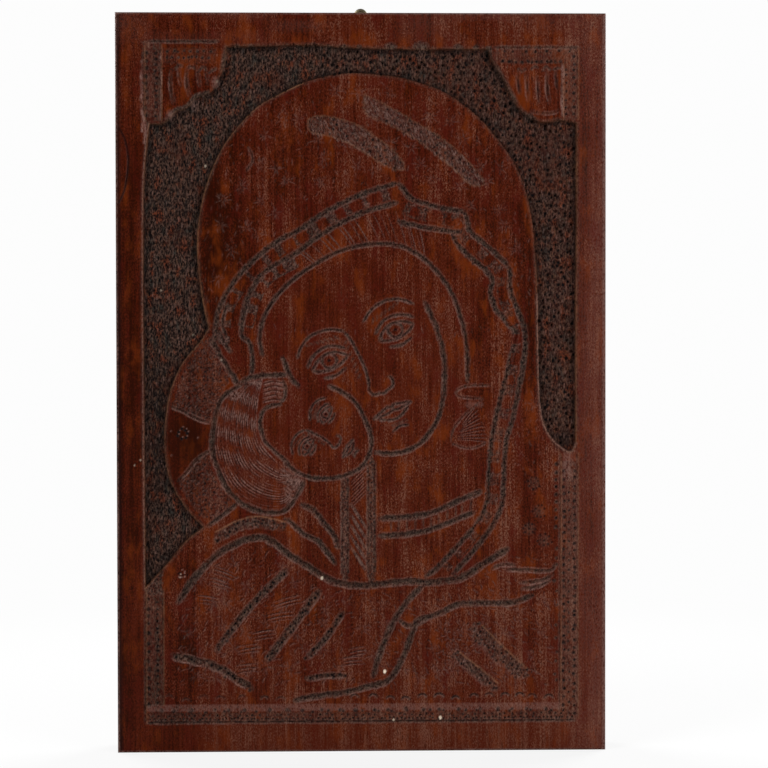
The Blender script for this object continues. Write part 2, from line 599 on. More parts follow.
def checks(line, offset, across, pitch, size, deep, amount=1.0):
    """A beaten strip beside a line, in which small raised squares are left at equal steps. A
    place lies in a square where the fourth powers of its shares of half the square's height and
    width add up to less than 1."""
    line = even_steps(line, BEATEN_STEP)
    steps_across = np.arange(-across / 2, across / 2 + 0.01, BEATEN_STEP)
    places = np.stack([beside(line, offset + step_across) for step_across in steps_across], axis=1)
    along = np.arange(len(line))[:, None] * BEATEN_STEP
    number = np.rint(along / pitch - 0.5).astype(int)
    skew, size_up, size_across = (
        chance.uniform(low, high, number.max() + 2)[number]
        for low, high in ((-1, 1), (0.7 * size, 1.5 * size), (0.7 * size, 1.35 * size)))
    ahead = (along - (number + 0.5) * pitch - skew) / (size_up / 2)
    aside = (steps_across[None, :] + 0.4 * skew) / (size_across / 2)
    in_square = ahead**4 + aside**4 < 1
    beaten = places[~in_square]
    press(beaten, 0.4, deep, 6.0)
    stain("grime", beaten, 0.45, 0.65 * amount, 4)
    picked = beaten[chance.uniform(size=len(beaten)) < 0.2 * amount]
    press(picked, 0.42, depth[nearest(picked)] + 0.3 * chance.uniform(0.4, 1, len(picked)))
    stain("pit", picked, 0.42, chance.uniform(0.3, 1, len(picked)))
    pale = beaten[chance.uniform(size=len(beaten)) < 0.05 * amount]
    turn = chance.uniform(0, math.pi, len(pale))
    engrave(pale, pale + heading(turn), 0.45)
    for layer in ("grime", "pit"):
        layers[layer][nearest(places[in_square])] = 0


hem_step = [(59, 73.7), (61, 73.1), (66, 72.3), (70.8, 71.7)]
checks(smooth_line(outer_hem), -3.3, 4.6, 8.6, 5.6, 0.3, 0.7)
checks(smooth_line(inner_hem[:4]), -3.2, 4.2, 7.2, 4.0, 0.3, 0.85)
checks(smooth_line(hem_step), 0, 5.2, 8.4, 5.4, 0.2, 0.5)
checks(smooth_line(outer_hem_right), -3.9, 3.4, 9.6, 4.4, 0.12, 0.45)

# The cap under the veil. Its edge is one clean round groove about the face, and the band between
# it and the hem is ruled with fine upright lines.
CAP_GOUGE = (1.7, 0.85, 1.8, 3, 0.75, 0.4, 0.7)
RULED_LINES = 19
cap_edge = [
    (29.8, 53.6), (29.2, 56), (29.8, 58.4), (31.6, 60.8), (34.4, 63), (38, 65), (45, 67.7),
    (52, 68.8), (58, 68.5), (63, 66.6), (67, 63.7), (69.8, 59.8), (71.4, 55), (71.6, 50),
]
carve(cap_edge, *CAP_GOUGE)
ruled = smooth_line([(36, 67), (42, 69.7), (50, 72.4), (57, 73.2), (62, 70.8)])
share = np.linspace(0.05, 0.98, RULED_LINES) + chance.uniform(-0.02, 0.02, RULED_LINES)
start, end = (line[np.clip((at * len(line)).astype(int), 0, len(line) - 1)] for line, at in (
    (ruled, share), (smooth_line(cap_edge[5:10]), share + 0.05)))
engrave(start, start + (end - start) * 0.9, chance.uniform(0.3, 0.8, RULED_LINES), 0.08, 1.2)

# The folds of the veil by the child's head. Short strong gouge cuts lie one inside another, where
# the veil gathers above the halo.
veil_folds = [
    ([(19.2, 56.1), (21.6, 53.2), (23.8, 51), (25, 49.6)], 2.2, 0.9),
    ([(20.6, 57.2), (22.2, 55.3), (23.4, 54.2)], 1.6, 0.6),
    ([(27.1, 61.3), (25.9, 58.7), (25.5, 56.5), (27.1, 55.5), (27.7, 53.3), (27.5, 51)], 1.5, 0.7),
    ([(22.6, 60.8), (21.6, 58), (22.4, 56.4)], 1.2, 0.5),
    ([(25, 50), (27.5, 50.8), (31, 51.1), (35, 51.2)], 2.0, 0.85),
]
for shares, width, deep in veil_folds:
    carve(shares, width, deep, 1.8, 2.5, 0.85)


# The faces. Both are drawn with fine gouge lines inside each head, calm and plain: the eyes stand
# halfway up, and the nose and mouth share the lower half evenly.
def in_head(strokes, middle, height, tilt):
    """Strokes in shares of the head's height, from the eyes' level on its middle line, turned by
    the head's tilt and put at its middle, in percent of the plank."""
    turn = math.radians(tilt)
    matrix = np.array([[math.cos(turn), math.sin(turn)], [-math.sin(turn), math.cos(turn)]])
    moved = [np.array(points, float) * height @ matrix for points in strokes]
    return [np.array(middle) + points / plank_size * 100 for points in moved]


def mirrored(points):
    return [(-x, y) for x, y in points]


lid = [(0.07, -0.008), (0.105, 0.022), (0.15, 0.034), (0.195, 0.022), (0.23, -0.004)]
lower_lid = [(0.07, -0.008), (0.11, -0.026), (0.155, -0.032), (0.2, -0.022), (0.23, -0.004)]
crease = [(0.068, 0.022), (0.11, 0.054), (0.155, 0.062), (0.205, 0.048), (0.242, 0.018)]
pouch = [(0.1, -0.05), (0.15, -0.062), (0.2, -0.052)]
brow = [(0.045, 0.09), (0.1, 0.122), (0.17, 0.13), (0.225, 0.108), (0.265, 0.07)]
iris = [(0.15 + 0.03 * math.cos(a), 0.004 + 0.03 * math.sin(a))
        for a in np.linspace(-0.3, FULL_TURN - 0.3, 13)]
nose = [(-0.042, 0.085), (-0.032, 0.02), (-0.03, -0.07), (-0.038, -0.14), (-0.052, -0.175),
        (-0.044, -0.2), (-0.018, -0.206), (0, -0.212), (0.02, -0.206), (0.044, -0.198),
        (0.052, -0.172), (0.042, -0.155)]
lips = [(-0.088, -0.292), (-0.04, -0.278), (-0.014, -0.272), (0, -0.278), (0.014, -0.272),
        (0.04, -0.278), (0.088, -0.292)]
mouth_line = [(-0.088, -0.292), (-0.03, -0.296), (0, -0.292), (0.03, -0.296), (0.088, -0.292)]
lower_lip = [(-0.07, -0.3), (-0.03, -0.322), (0, -0.328), (0.03, -0.322), (0.07, -0.3)]
chin_mark = [(-0.035, -0.372), (0, -0.362), (0.035, -0.372)]
fine_features = [lid, lower_lid, crease, pouch, brow, iris]
face_features = (
    fine_features + [mirrored(points) for points in fine_features]
    + [nose, lips, mouth_line, lower_lip, chin_mark]
)
jaw = [(0.31, 0.06), (0.305, -0.08), (0.27, -0.22), (0.18, -0.375), (0.08, -0.45), (0, -0.468),
       (-0.08, -0.452), (-0.14, -0.415)]
temple = [(-0.318, 0.1), (-0.322, 0.02), (-0.31, -0.04)]
FINE_VEINER = (1.15, 0.42, 1.6, 1.5, 0.75, 0.35)
WIDE_VEINER = (1.9, 0.8, 1.8, 3, 0.85, 0.5)
TINY_VEINER = (0.85, 0.34, 1.6, 0.8, 0.75, 0.25)
HALF_VEINER = (1.7, 0.75, 1.8, 2, 0.85, 0.5)
EYES = [(0.15, 0.006), (-0.15, 0.006)]
mother = ((50.2, 55), 104, 25)
child = ((40.8, 43.6), 53, 60)
for points in in_head(face_features, *mother):
    gouge(smooth_line(points, 0.15), *FINE_VEINER)
for points in in_head([jaw, temple], *mother):
    carve(points, *WIDE_VEINER)
for points in in_head(face_features, *child):
    gouge(smooth_line(points, 0.12), *TINY_VEINER)
cheek = [(0.36, 0.1), (0.37, -0.05), (0.34, -0.18), (0.24, -0.34), (0.12, -0.44), (0, -0.468),
         (-0.12, -0.44), (-0.24, -0.34), (-0.34, -0.18), (-0.37, -0.05), (-0.36, 0.1)]
for points in in_head([cheek], *child):
    carve(points, *HALF_VEINER)


def shade_face(middle, height, tilt):
    """Short fine cuts that shade the eye sockets, the sides of the nose and under the lip, each
    between two places given in shares of the head's height."""
    n = 7
    t = np.linspace(0, 1, n)[:, None]
    rows = [((0.075, 0.066), (0.2, 0.094), (0.09, 0.088), (0.215, 0.108)),
            ((-0.075, 0.066), (-0.2, 0.094), (-0.09, 0.088), (-0.215, 0.108)),
            ((-0.05, 0.05), (-0.055, -0.1), (-0.066, 0.038), (-0.072, -0.112)),
            ((-0.03, -0.344), (0.03, -0.344), (-0.022, -0.356), (0.038, -0.356))]
    for first, last, first_end, last_end in rows:
        start = np.array(first) * (1 - t) + np.array(last) * t
        end = np.array(first_end) * (1 - t) + np.array(last_end) * t
        a, b = (on_face(points) for points in in_head([start, end], middle, height, tilt))
        scratch(a, b, 0.7, 0.16, 0.45)


for head, radius in ((mother, 0.85), (child, 0.55)):
    shade_face(*head)
    pupils = on_face(in_head([EYES], *head)[0])
    press(pupils, radius, 0.7)
    stain("pit", pupils, radius, 0.95)


# The child's hair. A deep groove rounds it off behind, and combed lines follow the head in locks,
# with a forelock and a curl at the ear.
hair_outline = [
    (25.5, 49.9), (21.6, 48.1), (20.2, 45.7), (19.6, 43.1), (19.6, 40.7), (21.4, 37),
    (24.3, 34.4), (28.1, 32.9), (31.7, 32.5), (34.5, 32.9), (36.9, 35.1), (38.2, 36.8),
]
hair_inner = [
    (33.6, 47.2), (31, 46.9), (29.6, 45.9), (29.3, 44.2), (30.1, 42.4), (31.7, 41.1),
    (33.7, 39.9), (35.3, 38.8),
]
WAVE_LENGTH = 9.2
HAIR_GOUGE = (2.0, 1.1, 1.8, 2.5, 0.85, 0.4, 0.45, 0.6)
INNER_GOUGE = (1.5, 0.7, 1.8, 2, 0.8, 0.4, 0.4, 0.6)
LOCK_VEINER = (0.7, 0.3, 1.6, 1.2, 0.15, 0.3, 0.6)
outline = smooth_line(hair_outline)
gouge(outline, *HAIR_GOUGE)
carve(hair_inner, *INNER_GOUGE)
carve([(33.9, 50.4), (34.4, 49.4), (34.3, 48.2), (33.4, 47.4)], 1.2, 0.5, 1.8, 1.5)


def between(first, second, share, count=320):
    """The line a given share of the way from one line to another, place by place."""
    lines = [line[np.linspace(0, len(line) - 1, count).astype(int)] for line in (first, second)]
    return lines[0] * (1 - share) + lines[1] * share


def comb(strand, light, deep=0.16):
    """One combed strand: a fine cut whose lower side is dark and whose other side catches light.
    It shows where the hair waves towards the viewer."""
    wave = np.cos((strand @ (0.38, 1) - 105.5) / WAVE_LENGTH * FULL_TURN)
    shown = patchy(strand, 0.5 + 0.5 * wave, 0.5, 3.2, 0.1)
    press(strand, 0.34, deep * shown, 1.5)
    stain("dust", strand, 0.3, light * shown, 3)
    stain("pit", strand + (-0.5, -0.36), 0.34, 0.85 * shown, 3)


inner_full = smooth_line([(30, 50.6), (29.3, 48), (29, 45.9), (28.9, 44.2), (29.8, 42.1),
                          (31.5, 40.6), (33.4, 39.2), (35.6, 37.9)])
for share in np.linspace(0.07, 0.95, 20):
    comb(even_steps(between(outline, inner_full, share)), chance.uniform(0.6, 1))
for share in np.linspace(0.1, 0.9, 5):
    top, foot = (29.8, 50.2 - 3.0 * share), (34.1, 50.3 - 2.9 * share)
    carve([top, (32, top[1] + 0.35), foot], *LOCK_VEINER, 0.9)
for share in np.linspace(0, 1, 6):
    curl = [(33.6 + 0.5 * share, 38.6 - 3.2 * share), (35.6 + 0.4 * share, 37.4 - 2.9 * share),
            (37.6, 38.2 - 2.4 * share)]
    carve(curl, *LOCK_VEINER, 0.8)

# The child's halo. Its rim is the edge of the ground. Two quarters are beaten rough with a point,
# and the plain arm of the cross between them carries a small punched flower.
CROSS_VEINER = (1.2, 0.45, 1.8, 2, 0.5, 0.3, 0.4, 0.75)
BACK_GOUGE = (1.9, 0.6, 1.8, 2, 0.8, 0.4, 0.8)
halo_upper = [
    (11.4, 46.9), (14, 46.1), (16.5, 45.3), (19.3, 44.8), (21.3, 48.4), (23, 50.6), (20.9, 53.2),
    (18.9, 56), (16.4, 54.3), (13.9, 52),
]
halo_lower = [
    (12.6, 36.5), (14.2, 37.7), (16.6, 39.9), (18.7, 40.7), (19.4, 38.6), (21.2, 35.9),
    (23.6, 33.9), (21, 32), (18.6, 31.4), (15.6, 33.2),
]
for shares in (halo_upper, halo_lower):
    inside = sink(closed_curve(shares), 0.3, 0.8, 0.18)
    stipple(inside, 1.9, 0.62, 0.45, 1.1, 0.2)
    start = scatter(inside, 1.25, 1.4, 0.5)
    slips(start, chance.uniform(0, FULL_TURN, len(start)), 0.6, 1.4, 0, 0.42, 0.8, 2.6)
for shares in ([(11.2, 46.9), (14, 46.1), (16.5, 45.2), (19.3, 44.7)],
               [(19.2, 41), (16.5, 39.8), (14, 37.8), (12.4, 36.8)]):
    carve(shares, *CROSS_VEINER)
carve([(24.8, 33.9), (21.5, 32.2), (18.4, 30.7)], *BACK_GOUGE)
petals = np.arange(7) / 7 * FULL_TURN
spots = on_face([(13.5, 43.2)]) + 1.9 * heading(petals)
spots += chance.normal(0, 0.28, spots.shape)
press(spots, 0.75, 0.45)
stain("pit", spots, 0.85, 1.2)
stain("dust", spots + (0.6, 0.8), 0.5, 0.7)
stain("dust", on_face([(11.1, 43.6), (11.2, 40.3), (16.6, 42.7)]), 0.6, 0.55)

# The neck and collar. Two roughened strips run down the throat with slanting cuts between, and a
# double band crosses the breast.
THROAT_VEINER = (1.0, 0.4, 1.6, 2, 0.7, 0.4, 0.3)
COLLAR_GOUGE = (2.2, 0.85, 2.2, 2.5, 0.9)
for left, right, top in ((45.9, 47, 37), (51.2, 52.5, 39)):
    strip = smooth_line([(left, top), (left, 24.2), (right, 24), (right, top), (left, top + 0.02)])
    stipple(sink(strip, 0.3, 0.5, 0.5), 1.4, 0.58, 0.45, 1.15, 0.5)
    for share in (left, right):
        gouge(upright(share, 24, top + 0.4), *THROAT_VEINER)


def one_above_another(share, heights):
    """Places at one share of the width, each at its own height."""
    return on_face([(share, height) for height in heights])


rungs = np.arange(26, 33, 1.45)
scratch(one_above_another(47.7, rungs + 1.9), one_above_another(50.9, rungs - 1.5),
        1.2, 0.35, 0.75, 0.4)
rungs = np.arange(33.2, 37, 0.5)
engrave(one_above_another(47.8, rungs), one_above_another(50.8, rungs + 2), 0.5, 0.0, 1.3)
for shares in ([(53.6, 31.7), (60, 31.9), (65, 32.6), (70, 34.1), (74.5, 35.3)],
               [(53.4, 29.3), (60, 29.6), (65, 30.4), (70, 31.7), (73, 32.5)]):
    line = smooth_line(shares)
    gouge(line, *COLLAR_GOUGE)
    beads(line, 1.9, 0.55, 0.3, 0.2, 0.8)
collar_low, collar_high = (smooth_line(shares) for shares in (
    [(55, 29.7), (65, 30.7), (73, 32.6)], [(55, 31.4), (65, 32.2), (73, 34.5)]))
ladder(collar_low, collar_high, 3.4, 0.8, 0.25, 0.45)

# The hand at the neck. Fine slanting cuts fan out beside the veil, and three shallow grooves go
# round the fingers.
HAND_VEINER = (0.8, 0.3, 1.8, 2, 0.35, 0.2, 0.25, 0.55)
fan = np.linspace(0, 1, 10)[:, None]
start = on_face(np.hstack([70.4 - 1.4 * fan, 44.4 - 2.3 * fan]))
start += chance.uniform(0, 1.6, (10, 1)) * (0.8, 0.5)
end = on_face(np.hstack([73.4 + 2.4 * fan, 46.9 - 4.9 * fan]))
engrave(start, end, 0.5, 0.06, 1.8)
for shares in ([(76.3, 49.7), (71.5, 49.6), (69.5, 49), (69.7, 48.3), (71.8, 48), (74.9, 47.9)],
               [(68.3, 41.9), (68.6, 43.6), (70.6, 45.4), (73.2, 47), (74.9, 47.9)],
               [(68.3, 41.9), (70.5, 41.3), (73, 41.2), (75.6, 42)]):
    carve(shares, *HAND_VEINER)
stain("dust", straight_line([(71.8, 47.1), (74.2, 47.1)]), 1.8, 0.3)

# The garments. The child's arm and the mother's sleeve are drawn with the widest gouge, the folds
# with shorter strokes that were beaten with a point, and fine ticks shade between them.
broad_strokes = [
    ([(12.3, 20.3), (15.6, 23.5), (20, 26.6), (24.5, 28.4), (28, 29.1), (31, 28.8), (35, 26.8),
      (39, 25.1), (42.8, 23.6), (47, 22.7), (52, 22.6), (58, 23.1), (64, 23), (70, 23.5),
      (75, 25.5), (80, 27.6)], 2.7, 1.2),
    ([(36, 7), (43, 7.8), (46, 8), (51, 8.8), (55.5, 9.8), (58.5, 13), (60.5, 16.5),
      (61.5, 17.8), (66, 18.8), (70, 20), (76, 20.1), (81, 20.2), (85, 21.2)], 2.3, 1.0),
    ([(62.4, 22.6), (59, 20.2), (56.2, 17.4), (53.7, 13.5), (52.2, 10.2)], 2.4, 0.9),
    ([(64.5, 18.6), (61.5, 17.4), (59.3, 17.1), (57.6, 17.9)], 1.9, 0.7),
    ([(37.5, 33.6), (40.5, 32.5), (44, 29.5), (45.3, 27.6)], 2.2, 0.9),
    ([(34.5, 31.6), (38, 29.7), (41.5, 28.3), (44.5, 25.5)], 2.0, 0.9),
]
for shares, width, deep in broad_strokes:
    line = smooth_line(shares)
    gouge(line, width, deep, 1.9, 3, 0.9, 0.5, 0.35, 0.5)
    beads(line, 1.5, 0.55, 0.3, 0.5, 1.0)
fold_strokes = [
    ([(34.6, 24.7), (27.3, 19.9), (22.8, 16.2), (20.1, 13.8)], 2.8),
    ([(41.3, 21.9), (36.2, 17.4), (30.6, 12.5)], 3.1),
    ([(46, 18.9), (42.6, 15.5), (38.6, 12.7)], 2.5),
    ([(11.2, 13.2), (15, 12.6), (19.5, 11.8), (24, 10.1), (27.5, 8.6)], 3.2),
    ([(38.5, 10), (42.5, 10.3), (46.5, 10.4)], 2.2),
]
for shares, width in fold_strokes:
    line = smooth_line(shares)
    gouge(line, width, 0.8, 2.4, 2.5, 0.8, 0.5, 0.2, 0.7)
    beads(beside(line, 0.4), 2.6, 0.68, 0.5, 0.5, 1.4)
    beads(beside(line, -0.4), 2.6, 0.68, 0.5, 0.5, 1.4, 0.5)
for shares, width in (([(73.4, 16.4), (78.2, 13.2), (82.6, 10.5)], 6.6),
                      ([(69.4, 12.9), (73.2, 10.9), (77.2, 8.7)], 4.2),
                      ([(20.5, 29.3), (25, 30.8), (29, 31.3), (34, 30.6)], 4.4)):
    line = smooth_line(shares)
    gouge(line, width, 0.4, 3.0, 4, 0.62, 0.5, 0.1, 0.3)
    near = distance_from(line, width / 2) < width / 2 - 0.3
    stipple(near, 1.5, 0.66, 0.4, 1.3, 0.6)
    pale = scatter(near, 1.6, 1.9, 0.5)
    stain("dust", pale, 0.42, chance.uniform(0, 0.8, len(pale)), 2, 1.3)
    rub(beside(line, width / 2), 0.5, 0.7)
for shares, dark in (([(79.4, 24.7), (84, 24.6), (88.4, 24.5), (89.9, 25.5)], 0.6),
                     ([(82.3, 22.9), (86.5, 23.1), (89.2, 24)], 0.4),
                     ([(82.6, 22.1), (85.7, 22.3), (88.8, 23.3)], 0.4),
                     ([(76.5, 24.7), (78.5, 25.3), (81.5, 25.2)], 0.1)):
    carve(shares, 1.5, 0.55, 1.8, 3, 0.65, 0.4, dark, 0.8)
start = on_face([(89.3, 20.7), (89.9, 20.8), (90.5, 20.6)])
engrave(start, start + (0.8, -3.4), 0.5, 0.1, 1.4)
ticks = on_face([
    (31.9, 19.8), (37.4, 20.8), (30.6, 18), (36, 18.6), (27.9, 15.6), (32.2, 16.1),
    (24.8, 13.8), (29.2, 14.2), (24.6, 11.2), (28.7, 11.5), (20, 24.8), (24, 23.8),
    (19.2, 23.2), (23, 22.4), (16.8, 20.8), (20.6, 20.4), (47.5, 13.4), (50.8, 13.8),
    (46.4, 12.2), (50, 12.4),
])
for shift in ((0, 0), (-0.3, -1.5), (-0.5, 1.6)):
    engrave(ticks[::2] + shift, ticks[1::2] + shift, chance.uniform(0.3, 0.9, len(ticks) // 2),
            0.12, 1.5)

# The foot of the garments. A row of thumbnail cuts, each a small arch, runs along it and grows
# fainter to the left.
arch_places = [10.5, 14, 17.5, 21, 25.4, 30, 33.3, 38, 43, 48.4, 52.2, 55.7, 58.8, 62.3, 65.7,
               69.1, 72.9, 76, 79.3, 82.3, 84.8, 88.3]
turns = np.radians(np.linspace(15, 165, 15))
arch = 1.9 * np.column_stack([np.cos(turns), 0.85 * np.sin(turns)])
for share in arch_places:
    middle = on_face([(share, 7.15 + chance.uniform(-0.25, 0.25))])
    size = chance.uniform(0.85, 1.1)
    shown = np.clip((share + 20) / 70, 0, 1) * chance.uniform(0.6, 1)
    press(middle + arch * size, 0.5, 0.5 * shown, 1.6)
    stain("grime", middle + arch * size, 0.8, 0.5 * shown)
    stain("pit", middle + arch[3:12] * size, 0.5, 0.95 * shown)
    stain("dust", middle + arch * size * 0.72, 0.4, 0.3 * shown)

# The slips of the knife. Small nicks lie all over the garments, and finer upright ones over the
# veil.
rough_fold = within(straight_line([(64, 10.5), (69, 10.5), (78, 17.6), (66, 17.6), (64, 10.6)]))
start = scatter(rough_fold, 1.9, 1.9, 0.5)
slips(start, chance.uniform(0, FULL_TURN, len(start)), 0.8, 2, 0.1, 0.6, 0.9, 1.2)
garments = within(straight_line([(12, 9), (88.6, 9), (88.6, 27), (78, 27), (60, 22), (44, 22),
                                 (31, 28), (20, 27), (12, 20), (12, 9.05)]))
start = scatter(garments & (layers["grime"] < 0.3), 3.4, 3.1, 0.5)
angle = chance.uniform(0.1, 1.4, len(start)) * np.where(start[:, 0] < 0, 1, -1)
way = heading(angle) * chance.uniform(1.2, 3.2, len(angle))[:, None]
engrave(start, start + way, chance.uniform(0.05, 0.42, len(start)),
        chance.uniform(-1, 1, len(start)))

veil_field = within(np.vstack([smooth_line(veil_edge), straight_line([(93, 41.8), (84, 41.8)]),
                               smooth_line(outer_hem_right[:14][::-1]),
                               smooth_line(outer_hem[::-1])]))
start = scatter(veil_field & (layers["grime"] < 0.2), 3.2, 4.0, 0.5)
slips(start, chance.normal(math.pi / 2, 0.45, len(start)), 0.8, 2.6, 0, 0.35, 0.0, 0.7)

# The stars. Small stars of fine engraved rays are scattered over the veil and the garments, and
# four rings of dots are punched on the sleeve at the right.
RAYS = 13
open_field = ~in_ground & (layers["grime"] < 0.25)
field_outlines = [
    [(21, 58.6), (18.6, 66), (19, 73), (23, 80), (31, 86), (44, 89.8), (58, 89.4), (70, 85.5),
     (80, 78), (83.6, 68), (84.4, 58), (82, 64), (76, 71), (66, 76), (56, 79), (44, 76),
     (32, 71), (24, 66)],
    [(12, 20), (20, 26), (30, 27.6), (42, 22), (60, 21.6), (52, 12), (40, 9), (14, 9)],
    [(62, 16), (70, 18.4), (86, 19.6), (88.6, 24), (88.6, 9), (60, 8.6)],
    [(84, 52), (82, 42), (84, 44), (86.4, 46), (85.4, 49)],
]
ring_turns = np.arange(8) / 8 * FULL_TURN
for shares in [(86.3, 32.6), (85.3, 36.4), (87.3, 28.6), (84.2, 30.2)]:
    turned = ring_turns + chance.uniform(0, 1)
    dots = on_face([shares]) + 2.4 * heading(turned)
    dots = np.vstack([dots + chance.normal(0, 0.3, dots.shape), on_face([shares])])
    press(dots, 0.6, 0.5)
    stain("pit", dots, 0.6, chance.uniform(0.6, 1, len(dots)), 2.4)
    stain("grime", on_face([shares]), 3.4, 0.35)
for shares in field_outlines:
    field = within(straight_line(shares + shares[:1])) & open_field
    places = scatter(field, 10.5, 9.5, 0.3)
    places = places[chance.uniform(size=len(places)) < 0.9]
    angle = (np.arange(RAYS) / RAYS * FULL_TURN)[None] + chance.uniform(0, 1, (len(places), 1))
    angle = (angle + chance.normal(0, 0.2, angle.shape)).ravel()
    centre = np.repeat(places + chance.normal(0, 0.2, places.shape), RAYS, axis=0)
    way = heading(angle)
    reach = chance.uniform(1.4, 4.2, len(angle))[:, None]
    engrave(centre + way * 0.6, centre + way * reach, chance.uniform(0.02, 0.36, len(angle)),
            0.0, 1.0)

# The chips. Here and there the point broke through the stain and left a pale chip, or a few
# light dots.
crumbs = on_face([(13.5, 24.2)]) + chance.normal(0, 1.2, (14, 2))
stain("dust", crumbs[:8], 0.5, 0.95)
stain("pit", crumbs[8:], 0.55, 1.1)
stain("chip", crumbs[:2], 0.4, 0.2)
for shares, radius, amount in (
    ((54.6, 10.9), 0.75, 1.0), ((66, 4.55), 0.7, 0.9), ((56.4, 4.3), 0.5, 0.5),
    ((15.6, 56.6), 0.45, 0.22), ((21.4, 53.2), 0.45, 0.22), ((9.1, 62.6), 0.45, 0.2),
    ((20.7, 90.7), 0.55, 0.1), ((18.2, 79.4), 0.6, 0.3), ((41.8, 23.6), 0.65, 0.6),
    ((3.7, 39), 0.4, 0.22), ((4.9, 39.7), 0.45, 0.26),
):
    stain("chip", on_face([shares]), radius, amount, 4, 1.3)

# The tool marks. The tools left small chips and point marks in and beside every cut, and these
# hold wax too.
for low, pitch, size, dark in ((0.45, 0.95, 0.45, 1.1), (0.2, 1.6, 0.4, 0.5)):
    marked = (layers["grime"] > low) & (layers["skin"] == 0)
    pale = scatter(marked, 1.5 * pitch, 1.5 * pitch, 0.5)
    stain("dust", pale, 0.36, chance.uniform(0, 0.5 * dark, len(pale)), 2, 1.2)
    places = scatter(marked, pitch, pitch * 1.15, 0.5)
    places = places[chance.uniform(size=len(places)) < 0.7]
    size = size * chance.uniform(0.7, 1.2, len(places))
    press(places, size, depth[nearest(places)] + 0.22 * chance.uniform(0.3, 1, len(places)))
    stain("pit", places, size, dark * chance.uniform(0.2, 1, len(places)), 2, 1.25)

# The rubbed skin. Faces and other plain fields stay smooth and take the wax, with a slight
# unevenness from the plane and the knife.
SKIN_EDGE = 4.0
skin_outlines = [
    [(32, 62), (40, 65.6), (52, 68), (62, 66.4), (69.6, 59), (71, 50), (66, 43.6), (60, 41),
     (52, 41), (51, 46), (44, 50.6), (36, 52), (31, 56)],
    [(30.2, 44.4), (34, 47.4), (42, 49.6), (48.6, 46.6), (51.2, 42), (49.6, 38.6), (44, 37.4),
     (38, 38.2), (34, 40.4)],
]
rim_field = ~within(straight_line([(5.8, 4), (94.4, 4), (94.4, 95.6), (5.8, 95.6), (5.8, 4.05)]))
hair_field = within(closed_curve(hair_outline + hair_inner[::-1]))
arm_field = within(closed_curve([(10, 46), (19.4, 44.6), (19.4, 41), (12, 37), (9.8, 41)]))
for field, amount in ((rim_field, 0.75 - 0.65 * np.linspace(0, 1, counts[1])[:, None]),
                      (hair_field, 0.45), (arm_field, 1.0)):
    lay_over("calm", amount, field)
for shares in skin_outlines:
    edge = closed_curve(shares)
    lay_over("skin", distance_from(edge, SKIN_EDGE) / SKIN_EDGE, within(edge))
depth += np.where(depth > 0.1, 0, 0.035 * (1 + cloud(7, 34))) + 0.02 * (1 + cloud(3, 60))


def dab(shares, wide, high, amount):
    """A soft patch of darker or lighter stain: it falls off as a bell with distance."""
    x, z = on_face([shares])[0]
    across, up = (map_x - x) / wide, (map_z - z) / high
    layers["tone"] += amount * np.exp(-(across[None, :] ** 2 + up[:, None] ** 2))


for shares, wide, high, amount in (
    ((0, 50), 42, 500, -0.12), ((0, 52), 16, 70, -0.11), ((100, 50), 22, 500, 0.06),
    ((60, 0), 130, 40, 0.14), ((75, 12), 26, 34, 0.06), ((45, 75), 90, 70, -0.07),
    ((84, 66), 12, 70, -0.22), ((97, 28), 2.4, 55, -0.16), ((15, 42), 12, 14, -0.28),
    ((21, 68), 10, 40, -0.42), ((8, 6), 22, 30, -0.1), ((92, 98), 30, 14, 0.08),
    ((36, 99), 16, 8, -0.06), ((2.5, 72), 4, 22, -0.08), ((15, 91), 13, 12, -0.13),
):
    dab(shares, wide, high, amount)
right_haze = np.clip((share_x - 0.9) / 0.1, 0, 1)[None, :]
lay_over("dust", 0.22 * right_haze * (0.8 + 0.3 * cloud(4, 30)), ~in_ground)
top_haze = np.clip((share_z - 0.94) / 0.05, 0, 1)[:, None]
lay_over("dust", 0.09 * top_haze * np.clip(0.4 + cloud(26, 5), 0, 1), ~in_ground)


# The carved front itself, cut from the map of depths. It is made in upright staves, because one
# mesh would be too heavy, and their sides meet inside the wood. Behind them lies the plank's back.
STAVES = 6
SPLIT_Y = -4.0
BACK_CALM = 0.6
ARRIS_TURNS = (22.5, 45, 67.5, 90)
WALL_DEPTH = 6
UV_FRONT = 0.94
UV_WALLS = 0.955
FRONT_Y = plank_low[1]


def with_arris(values):
    """The map's lines with those of the rounded arris on both sides."""
    out = ARRIS * np.sin(np.radians(ARRIS_TURNS))
    return np.concatenate([values[0] - out[::-1], values, values[-1] + out])


def arris_fall(values, low, high):
    """How far the quarter round of the arris has fallen below the face at each line."""
    past = np.clip(np.maximum(low - values, values - high), 0, ARRIS)
    return ARRIS - np.sqrt(np.maximum(ARRIS**2 - past**2, 0))


def spread_out(layer):
    """A map carried on over the arris with its outermost values."""
    return np.pad(layer, len(ARRIS_TURNS), mode="edge")


grid_x, grid_z = with_arris(map_x), with_arris(map_z)
full_depth = spread_out(depth)
rounded = np.maximum(
    arris_fall(grid_x, map_x[0], map_x[-1])[None, :],
    arris_fall(grid_z, map_z[0], map_z[-1])[:, None],
)
full_depth = np.maximum(full_depth, rounded)
full_layers = {name: spread_out(layers[name]) for name in MASKS}
board_arris = np.clip(rounded / 0.1, 0, 1) * (0.7 + 0.3 * spread_out(cloud(5, 9)))
near_left = np.clip(1 - (grid_x - grid_x[0] - 1.6) / 1.4, 0, 1)[None, :]
near_right = np.clip(1 - (grid_x[-1] - grid_x - 1.3) / 0.9, 0, 1)[None, :]
for name, amount in (("pit", 0.55 * board_arris), ("dust", 0.75 * board_arris),
                     ("pit", 0.75 * near_left + 0.4 * near_right), ("dust", 0.5 * near_right)):
    full_layers[name] = np.maximum(full_layers[name], amount)
slope_z, slope_x = np.gradient(full_depth, grid_z, grid_x)
